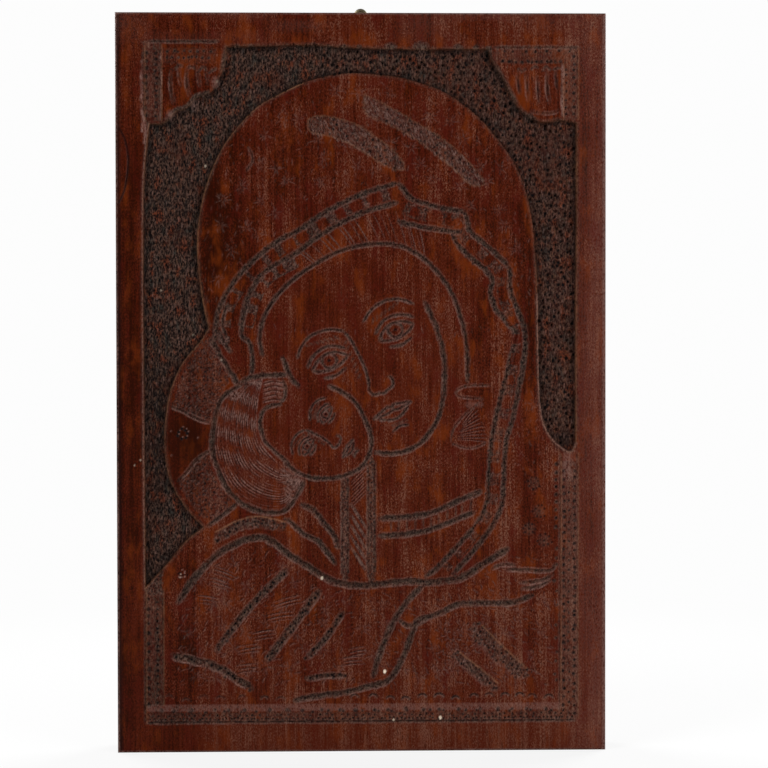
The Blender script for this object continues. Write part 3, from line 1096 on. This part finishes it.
face_normals = np.stack([slope_x, -np.ones_like(slope_x), slope_z], axis=-1)
face_normals[:, 0], face_normals[:, -1] = (-1, 0, 0), (1, 0, 0)
face_normals[0, :], face_normals[-1, :] = (0, 0, -1), (0, 0, 1)
face_normals /= np.linalg.norm(face_normals, axis=-1, keepdims=True)


def mesh_from(name, vertices, faces):
    """A mesh from its vertices, in metres, and lists of faces that each have one corner count."""
    mesh = bpy.data.meshes.new(name)
    corners = np.concatenate([f.ravel() for f in faces])
    sizes = np.concatenate([np.full(len(f), f.shape[1]) for f in faces])
    mesh.vertices.add(len(vertices))
    mesh.vertices.foreach_set("co", np.asarray(vertices, np.float32).ravel())
    mesh.loops.add(len(corners))
    mesh.loops.foreach_set("vertex_index", corners.astype(np.int32))
    mesh.polygons.add(len(sizes))
    starts = np.concatenate([[0], np.cumsum(sizes)[:-1]])
    mesh.polygons.foreach_set("loop_start", starts.astype(np.int32))
    mesh.update(calc_edges=True)
    mesh.validate()
    return mesh


def put(name, data, place=(0, 0, 0), turn=(0, 0, 0)):
    """Puts a mesh, a lamp or a camera into the scene."""
    made = bpy.data.objects.new(name, data)
    bpy.context.scene.collection.objects.link(made)
    made.location, made.rotation_euler = place, turn
    return made


def piece(name, mesh, material, body):
    """Puts a finished mesh into the scene and lets it ride on its body."""
    made = put(name, mesh)
    mesh.materials.append(material)
    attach(made, body)
    return made


def set_inputs(tree, made, values):
    """Gives a node its values: a number or colour for the named input, or another node's
    output, which is linked to it."""
    for key, value in dict(values).items():
        if isinstance(value, bpy.types.NodeSocket):
            tree.links.new(value, made.inputs[key])
        else:
            made.inputs[key].default_value = value
    return made


def node(tree, kind, values=(), **settings):
    """Adds one shader node with its settings and values."""
    made = tree.nodes.new("ShaderNode" + kind)
    for key, setting in settings.items():
        setattr(made, key, setting)
    return set_inputs(tree, made, values)


def noise_of(tree, place, scale, detail, roughness=0.5, shift=(0, 0, 0)):
    """Noise on coordinates that are first moved and scaled along each axis."""
    scaled = node(tree, "Mapping", {"Vector": place, "Location": shift, "Scale": scale})
    return node(tree, "TexNoise", {"Vector": scaled.outputs[0], "Scale": 1, "Detail": detail,
                                   "Roughness": roughness}).outputs[0]


def blend_colours(tree, factor, first, second):
    """The output of a mix of two colours, by a mask."""
    return node(tree, "MixRGB", {"Fac": factor, "Color1": first, "Color2": second}).outputs[0]


def arithmetic(tree, operation, first, second=0.0, third=0.0):
    """The output of one sum on two or three numbers or masks."""
    return node(tree, "Math", {0: first, 1: second, 2: third}, operation=operation).outputs[0]


def shade_range(tree, value, low, high):
    """A mask that rises from 0 to 1 as a value goes from low to high."""
    return node(tree, "MapRange", {"Value": value, "From Min": low, "From Max": high},
                interpolation_type="SMOOTHSTEP").outputs[0]


def group(name, inputs, outputs):
    """An empty shader node group with named sockets, and its two ends."""
    tree = bpy.data.node_groups.new(name, "ShaderNodeTree")
    for key, kind, default in inputs:
        socket = tree.interface.new_socket(key, in_out="INPUT", socket_type="NodeSocket" + kind)
        socket.default_value = default
    for key, kind in outputs:
        tree.interface.new_socket(key, in_out="OUTPUT", socket_type="NodeSocket" + kind)
    return tree, tree.nodes.new("NodeGroupInput").outputs, tree.nodes.new("NodeGroupOutput").inputs


def from_hex(code):
    """A colour written as a web code, as the linear values that a socket takes."""
    values = [int(code[i:i + 2], 16) / 255 for i in (1, 3, 5)]
    return tuple(v / 12.92 if v <= 0.04045 else ((v + 0.055) / 1.055) ** 2.4
                 for v in values) + (1.0,)


# Stained wood: short fine streaks along the grain, flecks and open pores, soft cloudy patches
# from the stain, and faint growth rings about a heart behind the board.
wood, wood_in, wood_out = group(
    "stained_wood_grain",
    [("Place", "Vector", (0, 0, 0)), ("Dark", "Color", (0, 0, 0, 1)),
     ("Middle", "Color", (0, 0, 0, 1)), ("Light", "Color", (0, 0, 0, 1)),
     ("Amber", "Color", (0, 0, 0, 1)), ("Plum", "Color", (0, 0, 0, 1)), ("Warm", "Float", 0.0),
     ("Shift", "Float", 0.0), ("Contrast", "Float", 1.0)],
    [("Color", "Color"), ("Height", "Float"), ("Patches", "Float")],
)


def grain_noise(scale, detail, roughness=0.6):
    """Noise on the piece's own coordinates, stretched along the grain, less its middle value."""
    return arithmetic(wood, "SUBTRACT",
                      noise_of(wood, wood_in["Place"], scale, detail, roughness), 0.5)


streaks = grain_noise((1250, 1250, 40), 1)
bands = grain_noise((150, 150, 4.5), 2)
flecks = grain_noise((2200, 2200, 1050), 2, 0.7)
patches = grain_noise((90, 90, 55), 4)
pores = grain_noise((1900, 1900, 210), 1)
ring_place = node(wood, "Mapping", {"Vector": wood_in["Place"], "Location": (-0.03, -0.11, 0),
                                    "Scale": (1, 1, 0.05)}).outputs[0]
rings = node(wood, "TexWave", {"Vector": ring_place, "Scale": 62, "Distortion": 5.5, "Detail": 2.5,
                               "Detail Scale": 0.55, "Detail Roughness": 0.6},
             wave_type="RINGS", rings_direction="Z").outputs["Fac"]
open_pores = shade_range(wood, pores, 0.1, 0.22)
tone = arithmetic(wood, "MULTIPLY", streaks, 0.7)
fleck_weight = arithmetic(wood, "MULTIPLY_ADD", shade_range(wood, patches, -0.14, 0.14), 0.8, 1.3)
for value, weight in ((flecks, fleck_weight), (patches, 0.7), (bands, 0.6),
                      (arithmetic(wood, "SUBTRACT", rings, 0.5), 0.05)):
    tone = arithmetic(wood, "MULTIPLY_ADD", value, weight, tone)
tone = arithmetic(wood, "MULTIPLY_ADD", tone, wood_in["Contrast"], wood_in["Shift"])
light_part = shade_range(wood, tone, 0.0, 0.56)
dark_part = shade_range(wood, arithmetic(wood, "MULTIPLY", tone, -1.0), 0.0, 0.36)
colour = blend_colours(wood, light_part, wood_in["Middle"], wood_in["Light"])
colour = blend_colours(wood, dark_part, colour, wood_in["Dark"])
warmth = noise_of(wood, wood_in["Place"], (150, 150, 62), 3, 0.65, (0.2, 0, 0.3))
warm_part = arithmetic(wood, "MULTIPLY", shade_range(wood, warmth, 0.5, 0.7), wood_in["Warm"])
colour = blend_colours(wood, warm_part, colour, wood_in["Amber"])
cool_part = shade_range(wood, arithmetic(wood, "MULTIPLY", warmth, -1.0), -0.48, -0.3)
cool_part = arithmetic(wood, "MULTIPLY", cool_part, wood_in["Warm"])
colour = blend_colours(wood, cool_part, colour, wood_in["Plum"])
colour = blend_colours(wood, arithmetic(wood, "MULTIPLY", open_pores, 0.5), colour,
                       wood_in["Dark"])
wood.links.new(colour, wood_out["Color"])
height = arithmetic(wood, "SUBTRACT", arithmetic(wood, "MULTIPLY", flecks, 0.5),
                    arithmetic(wood, "MULTIPLY", open_pores, 0.5))
wood.links.new(height, wood_out["Height"])
wood.links.new(patches, wood_out["Patches"])


def use_group(tree, which, values):
    """Places a group in a material with its own values."""
    made = tree.nodes.new("ShaderNodeGroup")
    made.node_tree = which
    return set_inputs(tree, made, values).outputs


def new_material(name):
    """A material with its node tree and its Principled shader."""
    material = bpy.data.materials.new(name)
    material.use_nodes = True
    tree = material.node_tree
    return material, tree, tree.nodes["Principled BSDF"]


stained, tree, shader = new_material("waxed_stained_wood")
masks = {name: node(tree, "Attribute", attribute_name=name).outputs["Fac"] for name in MASKS}
object_place = node(tree, "TexCoord").outputs["Object"]
grain = use_group(tree, wood, {
    "Place": object_place,
    "Dark": from_hex("#250801"), "Middle": from_hex("#461608"), "Light": from_hex("#6a4536"),
    "Amber": from_hex("#642808"), "Plum": from_hex("#430f08"),
    "Warm": arithmetic(tree, "MULTIPLY_ADD", masks["calm"], -0.35, 0.6),
    "Shift": masks["tone"],
    "Contrast": arithmetic(tree, "MULTIPLY_ADD", masks["calm"], -0.6, 1.05),
})
grit = noise_of(tree, object_place, (1600, 1600, 780), 3, 0.65)
drift = node(tree, "TexNoise", {"Vector": object_place, "Scale": 75, "Detail": 3}).outputs[0]
colour = blend_colours(tree, arithmetic(tree, "MULTIPLY", masks["skin"], 0.18), grain["Color"],
                       from_hex("#451407"))
grime_tone = blend_colours(tree, shade_range(tree, grit, 0.38, 0.62), from_hex("#1b1412"),
                           from_hex("#5a4c42"))
colour = blend_colours(tree, arithmetic(tree, "MULTIPLY", masks["grime"], 0.85), colour, grime_tone)
hue = noise_of(tree, object_place, (270, 270, 150), 3)
earth = blend_colours(tree, shade_range(tree, hue, 0.5, 0.66), from_hex("#48352d"),
                      from_hex("#5a2c1c"))
cool_hue = shade_range(tree, arithmetic(tree, "MULTIPLY", hue, -1.0), -0.47, -0.33)
earth = blend_colours(tree, cool_hue, earth, from_hex("#2e2d29"))
ground_tone = blend_colours(tree, shade_range(tree, grit, 0.41, 0.6), from_hex("#0f0908"), earth)
red_part = arithmetic(tree, "MULTIPLY", shade_range(tree, drift, 0.52, 0.75), 0.4)
ground_tone = blend_colours(tree, red_part, ground_tone, from_hex("#3c1a10"))
colour = blend_colours(tree, arithmetic(tree, "MULTIPLY", masks["ground"], 0.95), colour,
                       ground_tone)
colour = blend_colours(tree, arithmetic(tree, "MULTIPLY", masks["pit"], 0.94), colour,
                       from_hex("#0a0606"))
pale_part = arithmetic(tree, "MULTIPLY", masks["dust"], shade_range(tree, grit, 0.32, 0.58))
colour = blend_colours(tree, pale_part, colour, from_hex("#785a52"))
wear = arithmetic(tree, "MULTIPLY", masks["worn"], shade_range(tree, grit, 0.2, 0.6))
colour = blend_colours(tree, wear, colour, from_hex("#7c553d"))
colour = blend_colours(tree, masks["chip"], colour, from_hex("#e6d2ba"))
tree.links.new(colour, shader.inputs["Base Color"])
matt = arithmetic(tree, "MAXIMUM", masks["grime"], masks["ground"])
gloss = arithmetic(tree, "MULTIPLY_ADD", matt, 0.32, 0.4)
gloss = arithmetic(tree, "MULTIPLY_ADD", grain["Patches"], 0.2, gloss)
tree.links.new(gloss, shader.inputs["Roughness"])
relief = arithmetic(tree, "MULTIPLY_ADD", arithmetic(tree, "MULTIPLY", grit, matt), 1.6,
                    grain["Height"])
bump = node(tree, "Bump", {"Height": relief, "Strength": 0.5, "Distance": 0.00012})
tree.links.new(bump.outputs[0], shader.inputs["Normal"])
shader.inputs["Specular IOR Level"].default_value = 0.04


def grid_faces(shape):
    """The faces of a grid of vertices that are numbered row by row, and its border once round."""
    i = np.arange(shape[0] * shape[1]).reshape(shape)
    faces = np.stack([i[:-1, :-1], i[:-1, 1:], i[1:, 1:], i[1:, :-1]], axis=-1).reshape(-1, 4)
    return faces, np.concatenate([i[0, :-1], i[:-1, -1], i[-1, :0:-1], i[:0:-1, 0]])


def ring_faces(shape):
    """The faces of a bar whose vertices stand in rings, numbered ring by ring, and its ends."""
    i = np.arange(shape[0] * shape[1]).reshape(shape)
    j = np.roll(i, -1, axis=1)
    walls = np.stack([i[:-1], j[:-1], j[1:], i[1:]], axis=-1).reshape(-1, 4)
    return [walls, i[:1, ::-1], i[-1:]]


def stave(number, first, last):
    """One stave: the front's grid between two lines of the map, walls back to the split plane,
    and a fan that closes it there."""
    x, z = grid_x[first:last + 1], grid_z
    part = full_depth[:, first:last + 1]
    front = np.stack([np.broadcast_to(x, part.shape), FRONT_Y + part,
                      np.broadcast_to(z[:, None], part.shape)], axis=-1).reshape(-1, 3)
    grid, ring = grid_faces(part.shape)
    back = front[ring] * (1, 0, 1) + (0, SPLIT_Y, 0)
    centre = np.array([[(x[0] + x[-1]) / 2, SPLIT_Y, (z[0] + z[-1]) / 2]])
    vertices = np.vstack([front, back, centre]) * MM
    n = len(ring)
    behind = part.size + np.arange(n)
    walls = np.stack([np.roll(ring, -1), ring, behind, np.roll(behind, -1)], axis=-1)
    middle = np.full(n, part.size + n)
    fan = np.stack([np.roll(behind, -1), behind, middle], axis=-1)
    mesh = mesh_from(f"carved_front_{number}", vertices, [grid, walls, fan])
    normals = np.zeros((len(mesh.loops), 3))
    normals[:grid.size] = face_normals[:, first:last + 1].reshape(-1, 3)[grid.ravel()]
    smooth = np.arange(len(mesh.polygons)) < len(grid)
    mesh.polygons.foreach_set("use_smooth", smooth)
    mesh.normals_split_custom_set(normals.tolist())
    for name, layer in full_layers.items():
        behind_value = BACK_CALM if name == "calm" else 0.0
        values = np.concatenate([layer[:, first:last + 1].ravel(), np.full(n + 1, behind_value)])
        mesh.attributes.new(name, "FLOAT", "POINT").data.foreach_set("value", values)
    flat = np.concatenate([grid.ravel(), walls.ravel(), fan.ravel()])
    uv = np.empty((len(flat), 2))
    uv[:, 0] = (vertices[flat, 0] / MM - x[0]) / (x[-1] - x[0]) * UV_FRONT + 0.005
    uv[:, 1] = (vertices[flat, 2] / MM - z[0]) / (z[-1] - z[0])
    behind_front = vertices[flat[grid.size:], 1] / MM - FRONT_Y
    uv[grid.size:, 0] = UV_WALLS + 0.04 * behind_front / WALL_DEPTH
    mesh.uv_layers.new(name="OFBake").data.foreach_set("uv", uv.ravel())
    made = piece(mesh.name, mesh, stained, "board")
    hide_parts("carved_panel")


cuts = np.linspace(0, len(grid_x) - 1, STAVES + 1).astype(int)
for number, (first, last) in enumerate(zip(cuts[:-1], cuts[1:]), 1):
    stave(number, first, last)

# The back of the same plank, with the dovetail grooves for the battens and the holes for the
# screws, as the solid has them.
def open_mesh(mesh, merge=1e-6):
    """The working copy of a mesh, with its doubled corners joined."""
    work = bmesh.new()
    work.from_mesh(mesh)
    bmesh.ops.remove_doubles(work, verts=work.verts, dist=merge)
    return work


def close_mesh(work, mesh, smooth):
    """Writes the working copy back to its mesh, with all faces smooth or all flat."""
    work.to_mesh(mesh)
    work.free()
    mesh.polygons.foreach_set("use_smooth", np.full(len(mesh.polygons), smooth))


back_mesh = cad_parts["carved_panel"].data.copy()
back_mesh.name = "plank_back"
back_mesh.materials.clear()
work = open_mesh(back_mesh)
cut = bmesh.ops.bisect_plane(work, geom=work.verts[:] + work.edges[:] + work.faces[:], dist=1e-7,
                             plane_co=(0, SPLIT_Y * MM, 0), plane_no=(0, -1, 0), clear_outer=True)
rim = [e for e in cut["geom_cut"] if isinstance(e, bmesh.types.BMEdge)]
bmesh.ops.holes_fill(work, edges=rim)
bmesh.ops.recalc_face_normals(work, faces=work.faces)
close_mesh(work, back_mesh, False)
calm = back_mesh.attributes.new("calm", "FLOAT", "POINT")
calm.data.foreach_set("value", np.full(len(back_mesh.vertices), BACK_CALM))
plank_back = piece("plank_back", back_mesh, stained, "board")
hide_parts("carved_panel")

# The battens. Two tapered strips of planed wood, each driven from one side edge into a dovetail
# groove across the back. They took the stain thinner than the plank, and their edges are eased.
def merged_copy(name, of):
    """The mesh of a solid with its doubled corners joined and its flat faces made whole."""
    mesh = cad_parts[of].data.copy()
    mesh.name = name
    mesh.materials.clear()
    work = open_mesh(mesh)
    bmesh.ops.dissolve_limit(work, angle_limit=math.radians(1), verts=work.verts, edges=work.edges)
    close_mesh(work, mesh, True)
    return mesh


EASED_EDGE = 0.45
planed, tree, shader = new_material("planed_batten_wood")
lying = node(tree, "Mapping", {"Vector": node(tree, "TexCoord").outputs["Object"],
                               "Rotation": (0, math.pi / 2, 0)}).outputs[0]
grain = use_group(tree, wood, {
    "Place": lying, "Dark": from_hex("#3a1d12"), "Middle": from_hex("#5a3426"),
    "Light": from_hex("#7d5643"), "Amber": from_hex("#6d4228"),
    "Plum": from_hex("#4c2c26"), "Warm": 0.4, "Shift": 0.0, "Contrast": 0.9,
})
tree.links.new(grain["Color"], shader.inputs["Base Color"])
tree.links.new(arithmetic(tree, "MULTIPLY_ADD", grain["Patches"], 0.3, 0.62),
               shader.inputs["Roughness"])
bump = node(tree, "Bump", {"Height": grain["Height"], "Strength": 0.5, "Distance": 0.00015})
tree.links.new(bump.outputs[0], shader.inputs["Normal"])
shader.inputs["Specular IOR Level"].default_value = 0.2
for name in ("upper_batten", "lower_batten"):
    strip = piece(name + "_planed", merged_copy(name + "_planed", name), planed, "board")
    ease = strip.modifiers.new("eased_edges", "BEVEL")
    ease.width, ease.segments = EASED_EDGE * MM, 3
    ease.limit_method, ease.angle_limit = "ANGLE", math.radians(25)
    ease.harden_normals = True
    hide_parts(name)

# The strap. A strip of thin brass sheet, folded round the wire of the ring and laid double, with
# its edges filed round. The brass has gone dull and brown.
aged, aged_in, aged_out = group(
    "aged_brass_tone",
    [("Bright", "Color", (0, 0, 0, 1)), ("Dull", "Color", (0, 0, 0, 1))],
    [("Color", "Color"), ("Roughness", "Float"), ("Height", "Float")],
)
place = node(aged, "TexCoord").outputs["Object"]
stains = node(aged, "TexNoise", {"Vector": place, "Scale": 420, "Detail": 5,
                                 "Roughness": 0.62}).outputs[0]
specks = node(aged, "TexNoise", {"Vector": place, "Scale": 2600, "Detail": 2}).outputs[0]
tarnish = shade_range(aged, arithmetic(aged, "MULTIPLY_ADD", specks, 0.25, stains), 0.46, 0.98)
aged.links.new(blend_colours(aged, tarnish, aged_in["Bright"], aged_in["Dull"]),
               aged_out["Color"])
aged.links.new(arithmetic(aged, "MULTIPLY_ADD", tarnish, 0.28, 0.36), aged_out["Roughness"])
aged.links.new(arithmetic(aged, "MULTIPLY_ADD", specks, 0.5, stains), aged_out["Height"])


def brass(name, bright, dull):
    """A material of aged brass in two tones."""
    material, tree, shader = new_material(name)
    tones = use_group(tree, aged, {"Bright": from_hex(bright), "Dull": from_hex(dull)})
    tree.links.new(tones["Color"], shader.inputs["Base Color"])
    tree.links.new(tones["Roughness"], shader.inputs["Roughness"])
    bump = node(tree, "Bump", {"Height": tones["Height"], "Strength": 0.35, "Distance": 0.00004})
    tree.links.new(bump.outputs[0], shader.inputs["Normal"])
    shader.inputs["Metallic"].default_value = 0.85
    return material


def arc(middle, radius, start, end, steps):
    """Places on an arc, from one angle to another in degrees."""
    turn = np.radians(np.linspace(start, end, steps + 1))
    return np.array(middle) + radius * heading(turn)


SHEET = 0.9
ROUND_EDGE = 0.28
KNUCKLE = 2.05
LEAF_GAP = 0.2
FOLD_END = -60
strap_low, strap_high = in_mm(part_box("hanger_strap"))
strap_length = strap_high[2] - strap_low[2] - KNUCKLE
slope = math.tan(math.radians(-FOLD_END))


def leaf_bend(radius, level):
    """Where the sheet that leaves the knuckle in a straight line meets its outer leaf."""
    start = arc((KNUCKLE, 0), radius, FOLD_END, FOLD_END, 1)[0]
    return level, start[1] - (start[0] - level) / slope


outer_bend = leaf_bend(KNUCKLE, 2 * SHEET + LEAF_GAP)
inner_bend = leaf_bend(KNUCKLE - SHEET, SHEET + LEAF_GAP)
side_view = np.vstack([
    [(0, -strap_length)], arc((KNUCKLE, 0), KNUCKLE, 180, FOLD_END, 40),
    [outer_bend, (2 * SHEET + LEAF_GAP, -strap_length), (SHEET + LEAF_GAP, -strap_length),
     inner_bend], arc((KNUCKLE, 0), KNUCKLE - SHEET, FOLD_END, 180, 32),
    [(SHEET, -strap_length)],
])


def folded_sheet(name, outline, across, rounding):
    """A strip made from its side view: the outline is repeated across the strip, drawn in along
    a quarter circle at both sides so that the edges come out round, and closed by flat ends."""
    ahead = np.roll(outline, -1, axis=0) - outline
    ahead /= np.hypot(*ahead.T)[:, None]
    right = np.column_stack([ahead[:, 1], -ahead[:, 0]])
    inward = right + np.roll(right, 1, axis=0)
    inward /= np.maximum((inward * right).sum(axis=1), 0.3)[:, None]
    turn = np.radians(np.linspace(0, 90, 5))
    pushed_in, drawn_in = rounding * (1 - np.cos(turn)), rounding * (1 - np.sin(turn))
    places = np.concatenate([pushed_in - across / 2, across / 2 - pushed_in[::-1]])
    insets = np.concatenate([drawn_in, drawn_in[::-1]])
    rings = np.stack([np.column_stack([np.full(len(outline), x), outline + inward * inset])
                      for x, inset in zip(places, insets)])
    return mesh_from(name, rings.reshape(-1, 3), ring_faces(rings.shape[:2]))


def settle(mesh, shift, sharp):
    """Moves a mesh made in millimetres to its place, turns its faces outward and smooths it."""
    work = open_mesh(mesh, 1e-5)
    bmesh.ops.translate(work, verts=work.verts, vec=shift)
    bmesh.ops.scale(work, verts=work.verts, vec=(MM, MM, MM))
    bmesh.ops.recalc_face_normals(work, faces=work.faces)
    close_mesh(work, mesh, True)
    mesh.set_sharp_from_angle(angle=math.radians(sharp))


sheet_brass = brass("aged_sheet_brass", "#7d6a42", "#4b3c24")
fold = folded_sheet("folded_strap", side_view, strap_high[0] - strap_low[0], ROUND_EDGE)
settle(fold, (0, strap_low[1], strap_high[2] - KNUCKLE), 35)
strap = piece("folded_strap", fold, sheet_brass, "board")
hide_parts("hanger_strap")

# The ring. One brass wire bent to a rounded triangle. Its two ends meet inside the fold of the
# strap, in which the ring turns.
WIRE = 0.9
RING_CORNER = 2.4
RING_APEX = 2.1
END_GAP = 0.6
ring_low, ring_high = in_mm(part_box("hanger_ring"))
corner_x = (ring_high[0] - ring_low[0]) / 2 - WIRE - RING_CORNER
apex_z = ring_high[2] - ring_low[2] - 2 * WIRE - RING_APEX
lean = math.degrees(
    math.atan2(apex_z - RING_CORNER, corner_x)
    + math.asin((RING_APEX - RING_CORNER) / math.hypot(apex_z - RING_CORNER, corner_x)))
wire_path = np.vstack([
    [(END_GAP / 2, 0)], arc((corner_x, RING_CORNER), RING_CORNER, -90, 90 - lean, 18),
    arc((0, apex_z), RING_APEX, 90 - lean, 90 + lean, 24),
    arc((-corner_x, RING_CORNER), RING_CORNER, 90 + lean, 270, 18), [(-END_GAP / 2, 0)],
])


def tube(name, path, radius, sides):
    """A round bar along a path in the X-Z plane: at each place a circle stands across the path's
    direction, and the first and last circles are closed."""
    ahead = np.gradient(path, axis=0)
    ahead /= np.hypot(*ahead.T)[:, None]
    turn = np.arange(sides) / sides * FULL_TURN
    out = radius * np.cos(turn)
    x = path[:, :1] - ahead[:, 1:] * out
    z = path[:, 1:] + ahead[:, :1] * out
    y = np.broadcast_to(radius * np.sin(turn), x.shape)
    return mesh_from(name, np.stack([x, y, z], axis=-1).reshape(-1, 3), ring_faces(x.shape))


wire_brass = brass("aged_wire_brass", "#8a7f64", "#4a4434")
bent = tube("bent_wire_ring", wire_path, WIRE, 24)
settle(bent, (0, (ring_low[1] + ring_high[1]) / 2, ring_low[2] + WIRE), 40)
hanger = piece("bent_wire_ring", bent, wire_brass, "ring")
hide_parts("hanger_ring")

# The screws. Two round-head wood screws with a sawn slot, driven through both leaves of the strap
# into the plank.
HEAD_RADIUS = 2.9
HEAD_HEIGHT = 1.6
HEAD_EDGE = 0.35
SLOT_HALF = 0.4
SLOT_FLOOR = 0.8
CORE_RADIUS = 1.0
THREAD = 0.38
THREAD_PITCH = 1.25
PLAIN_LENGTH = 3.5
POINT_LENGTH = 3.0
IN_HEAD = 0.3


def slotted_head():
    """A shallow dome cut by a slot. Over a place at a distance r from the middle the dome is as
    high as a sphere through its top and its edge, and in the slot no higher than the floor."""
    across = np.linspace(-HEAD_RADIUS, HEAD_RADIUS, 41)
    inside = np.abs(across) < SLOT_HALF
    wall = [-SLOT_HALF, SLOT_HALF]
    columns = np.sort(np.concatenate([across[~inside], across[inside], wall, wall]))
    cut = (np.abs(columns) < SLOT_HALF)
    edges = np.flatnonzero(np.isclose(np.abs(columns), SLOT_HALF))
    cut[edges[1]] = cut[edges[2]] = True
    along = np.linspace(-1, 1, 29)[:, None] * np.sqrt(HEAD_RADIUS**2 - columns**2)[None, :]
    rise = HEAD_HEIGHT - HEAD_EDGE
    sphere = (HEAD_RADIUS**2 + rise**2) / (2 * rise)
    height = HEAD_HEIGHT - sphere + np.sqrt(sphere**2 - columns**2 - along**2)
    height = np.where(cut[None, :], np.minimum(height, SLOT_FLOOR), height)
    top = np.stack([along, height, np.broadcast_to(columns, along.shape)], axis=-1)
    grid, edge = grid_faces(along.shape)
    foot = top.reshape(-1, 3)[edge] * (1, 0, 1)
    below = along.size + np.arange(len(edge))
    side = np.stack([edge, np.roll(edge, -1), np.roll(below, -1), below], axis=-1)
    middle = np.full(len(edge), along.size + len(edge))
    under = np.stack([below, np.roll(below, -1), middle], axis=-1)
    return np.vstack([top.reshape(-1, 3), foot, [(0, 0, 0)]]), [grid, side, under]


def threaded_shank(length):
    """A tapering core with a raised helix: its radius at a depth and an angle is the core's plus
    a ridge that peaks once in every turn of the pitch."""
    sides = 24
    down = np.linspace(0, length, 110)[:, None]
    turn = np.arange(sides)[None, :] / sides
    phase = (down / THREAD_PITCH - turn) % 1
    ridge = np.clip(1 - np.abs(phase - 0.5) / 0.32, 0, 1)
    point = np.clip((length - down) / POINT_LENGTH, 0.06, 1)
    threaded = np.clip((down - PLAIN_LENGTH) / 0.8, 0, 1)
    plain = CORE_RADIUS + THREAD * (1 - threaded)
    radius = (plain + THREAD * threaded * ridge) * point
    x, z = radius * np.cos(turn * FULL_TURN), radius * np.sin(turn * FULL_TURN)
    places = np.stack([x, np.broadcast_to(IN_HEAD - down, x.shape), z], axis=-1).reshape(-1, 3)
    return places, ring_faces(radius.shape)


screw_brass = brass("aged_screw_brass", "#96804a", "#5a4826")
for name in ("hanger_screw_upper", "hanger_screw_lower"):
    low, high = in_mm(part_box(name))
    head_places, head_faces = slotted_head()
    shank_places, shank_faces = threaded_shank(high[1] - low[1] - HEAD_HEIGHT + IN_HEAD)
    faces = head_faces + [group_of + len(head_places) for group_of in shank_faces]
    screw_mesh = mesh_from(name + "_turned", np.vstack([head_places, shank_places]), faces)
    settle(screw_mesh, (0, high[1] - HEAD_HEIGHT, (low[2] + high[2]) / 2), 35)
    screw = piece(name + "_turned", screw_mesh, screw_brass, "board")
    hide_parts(name)

# The stage: a pale floor under the board and a white room, two large soft lamps in front, high
# at the left and lower at the right, and two more behind so that the back can be seen.
floor_mesh = mesh_from("floor", np.array([(-4, -4, 0), (4, -4, 0), (4, 4, 0), (-4, 4, 0)]),
                       [np.array([[0, 1, 2, 3]])])
floor = put("floor", floor_mesh)
pale, tree, shader = new_material("pale_floor")
shader.inputs["Base Color"].default_value = (0.75, 0.75, 0.75, 1)
shader.inputs["Roughness"].default_value = 0.8
white = node(tree, "Emission", {"Color": (1, 1, 1, 1), "Strength": 0.98})
rays = node(tree, "LightPath").outputs
seen = arithmetic(tree, "MAXIMUM", rays["Is Camera Ray"], rays["Is Transmission Ray"])
away = node(tree, "VectorMath", {0: node(tree, "TexCoord").outputs["Object"]},
            operation="LENGTH").outputs["Value"]
share = arithmetic(tree, "MULTIPLY_ADD", shade_range(tree, away, 0.2, 0.5), 0.14, 0.86)
mix = node(tree, "MixShader", {0: arithmetic(tree, "MULTIPLY", seen, share)})
tree.links.new(shader.outputs[0], mix.inputs[1])
tree.links.new(white.outputs[0], mix.inputs[2])
tree.links.new(mix.outputs[0], tree.nodes["Material Output"].inputs[0])
floor_mesh.materials.append(pale)

world = bpy.data.worlds.new("room")
bpy.context.scene.world = world
world.use_nodes = True
tree = world.node_tree
backdrop = tree.nodes["Background"]
rays = node(tree, "LightPath").outputs
seen = arithmetic(tree, "MAXIMUM", rays["Is Camera Ray"], rays["Is Transmission Ray"])
tree.links.new(blend_colours(tree, seen, (0.06, 0.06, 0.06, 1), (0.98, 0.98, 0.98, 1)),
               backdrop.inputs["Color"])


MIDDLE_HEIGHT = 0.158


def lamp(name, place, size, power):
    """A square soft lamp that faces the middle of the board."""
    data = bpy.data.lights.new(name, "AREA")
    data.size, data.energy = size, power
    away = np.array(place) - (0, 0, MIDDLE_HEIGHT)
    put(name, data, place, (math.atan2(math.hypot(away[0], away[1]), away[2]), 0,
                            math.atan2(away[1], away[0]) + math.pi / 2))


lamp("key", (-1.0, -0.78, 1.15), 0.7, 16)
lamp("fill", (1.0, -0.8, 0.4), 0.8, 13)
lamp("back_left", (-0.9, 0.9, 0.8), 0.8, 18)
lamp("back_right", (0.9, 0.9, 0.9), 0.8, 22)

view = bpy.data.cameras.new("view")
view.lens = 85
view.sensor_width = 36
view.clip_end = 20
camera = put("view", view, (-0.0078, -0.7872, 0.173),
             (math.radians(90 - 1.09), math.radians(0.09), math.radians(-1.28)))
bpy.context.scene.camera = camera
bpy.context.scene.view_settings.view_transform = "Standard"
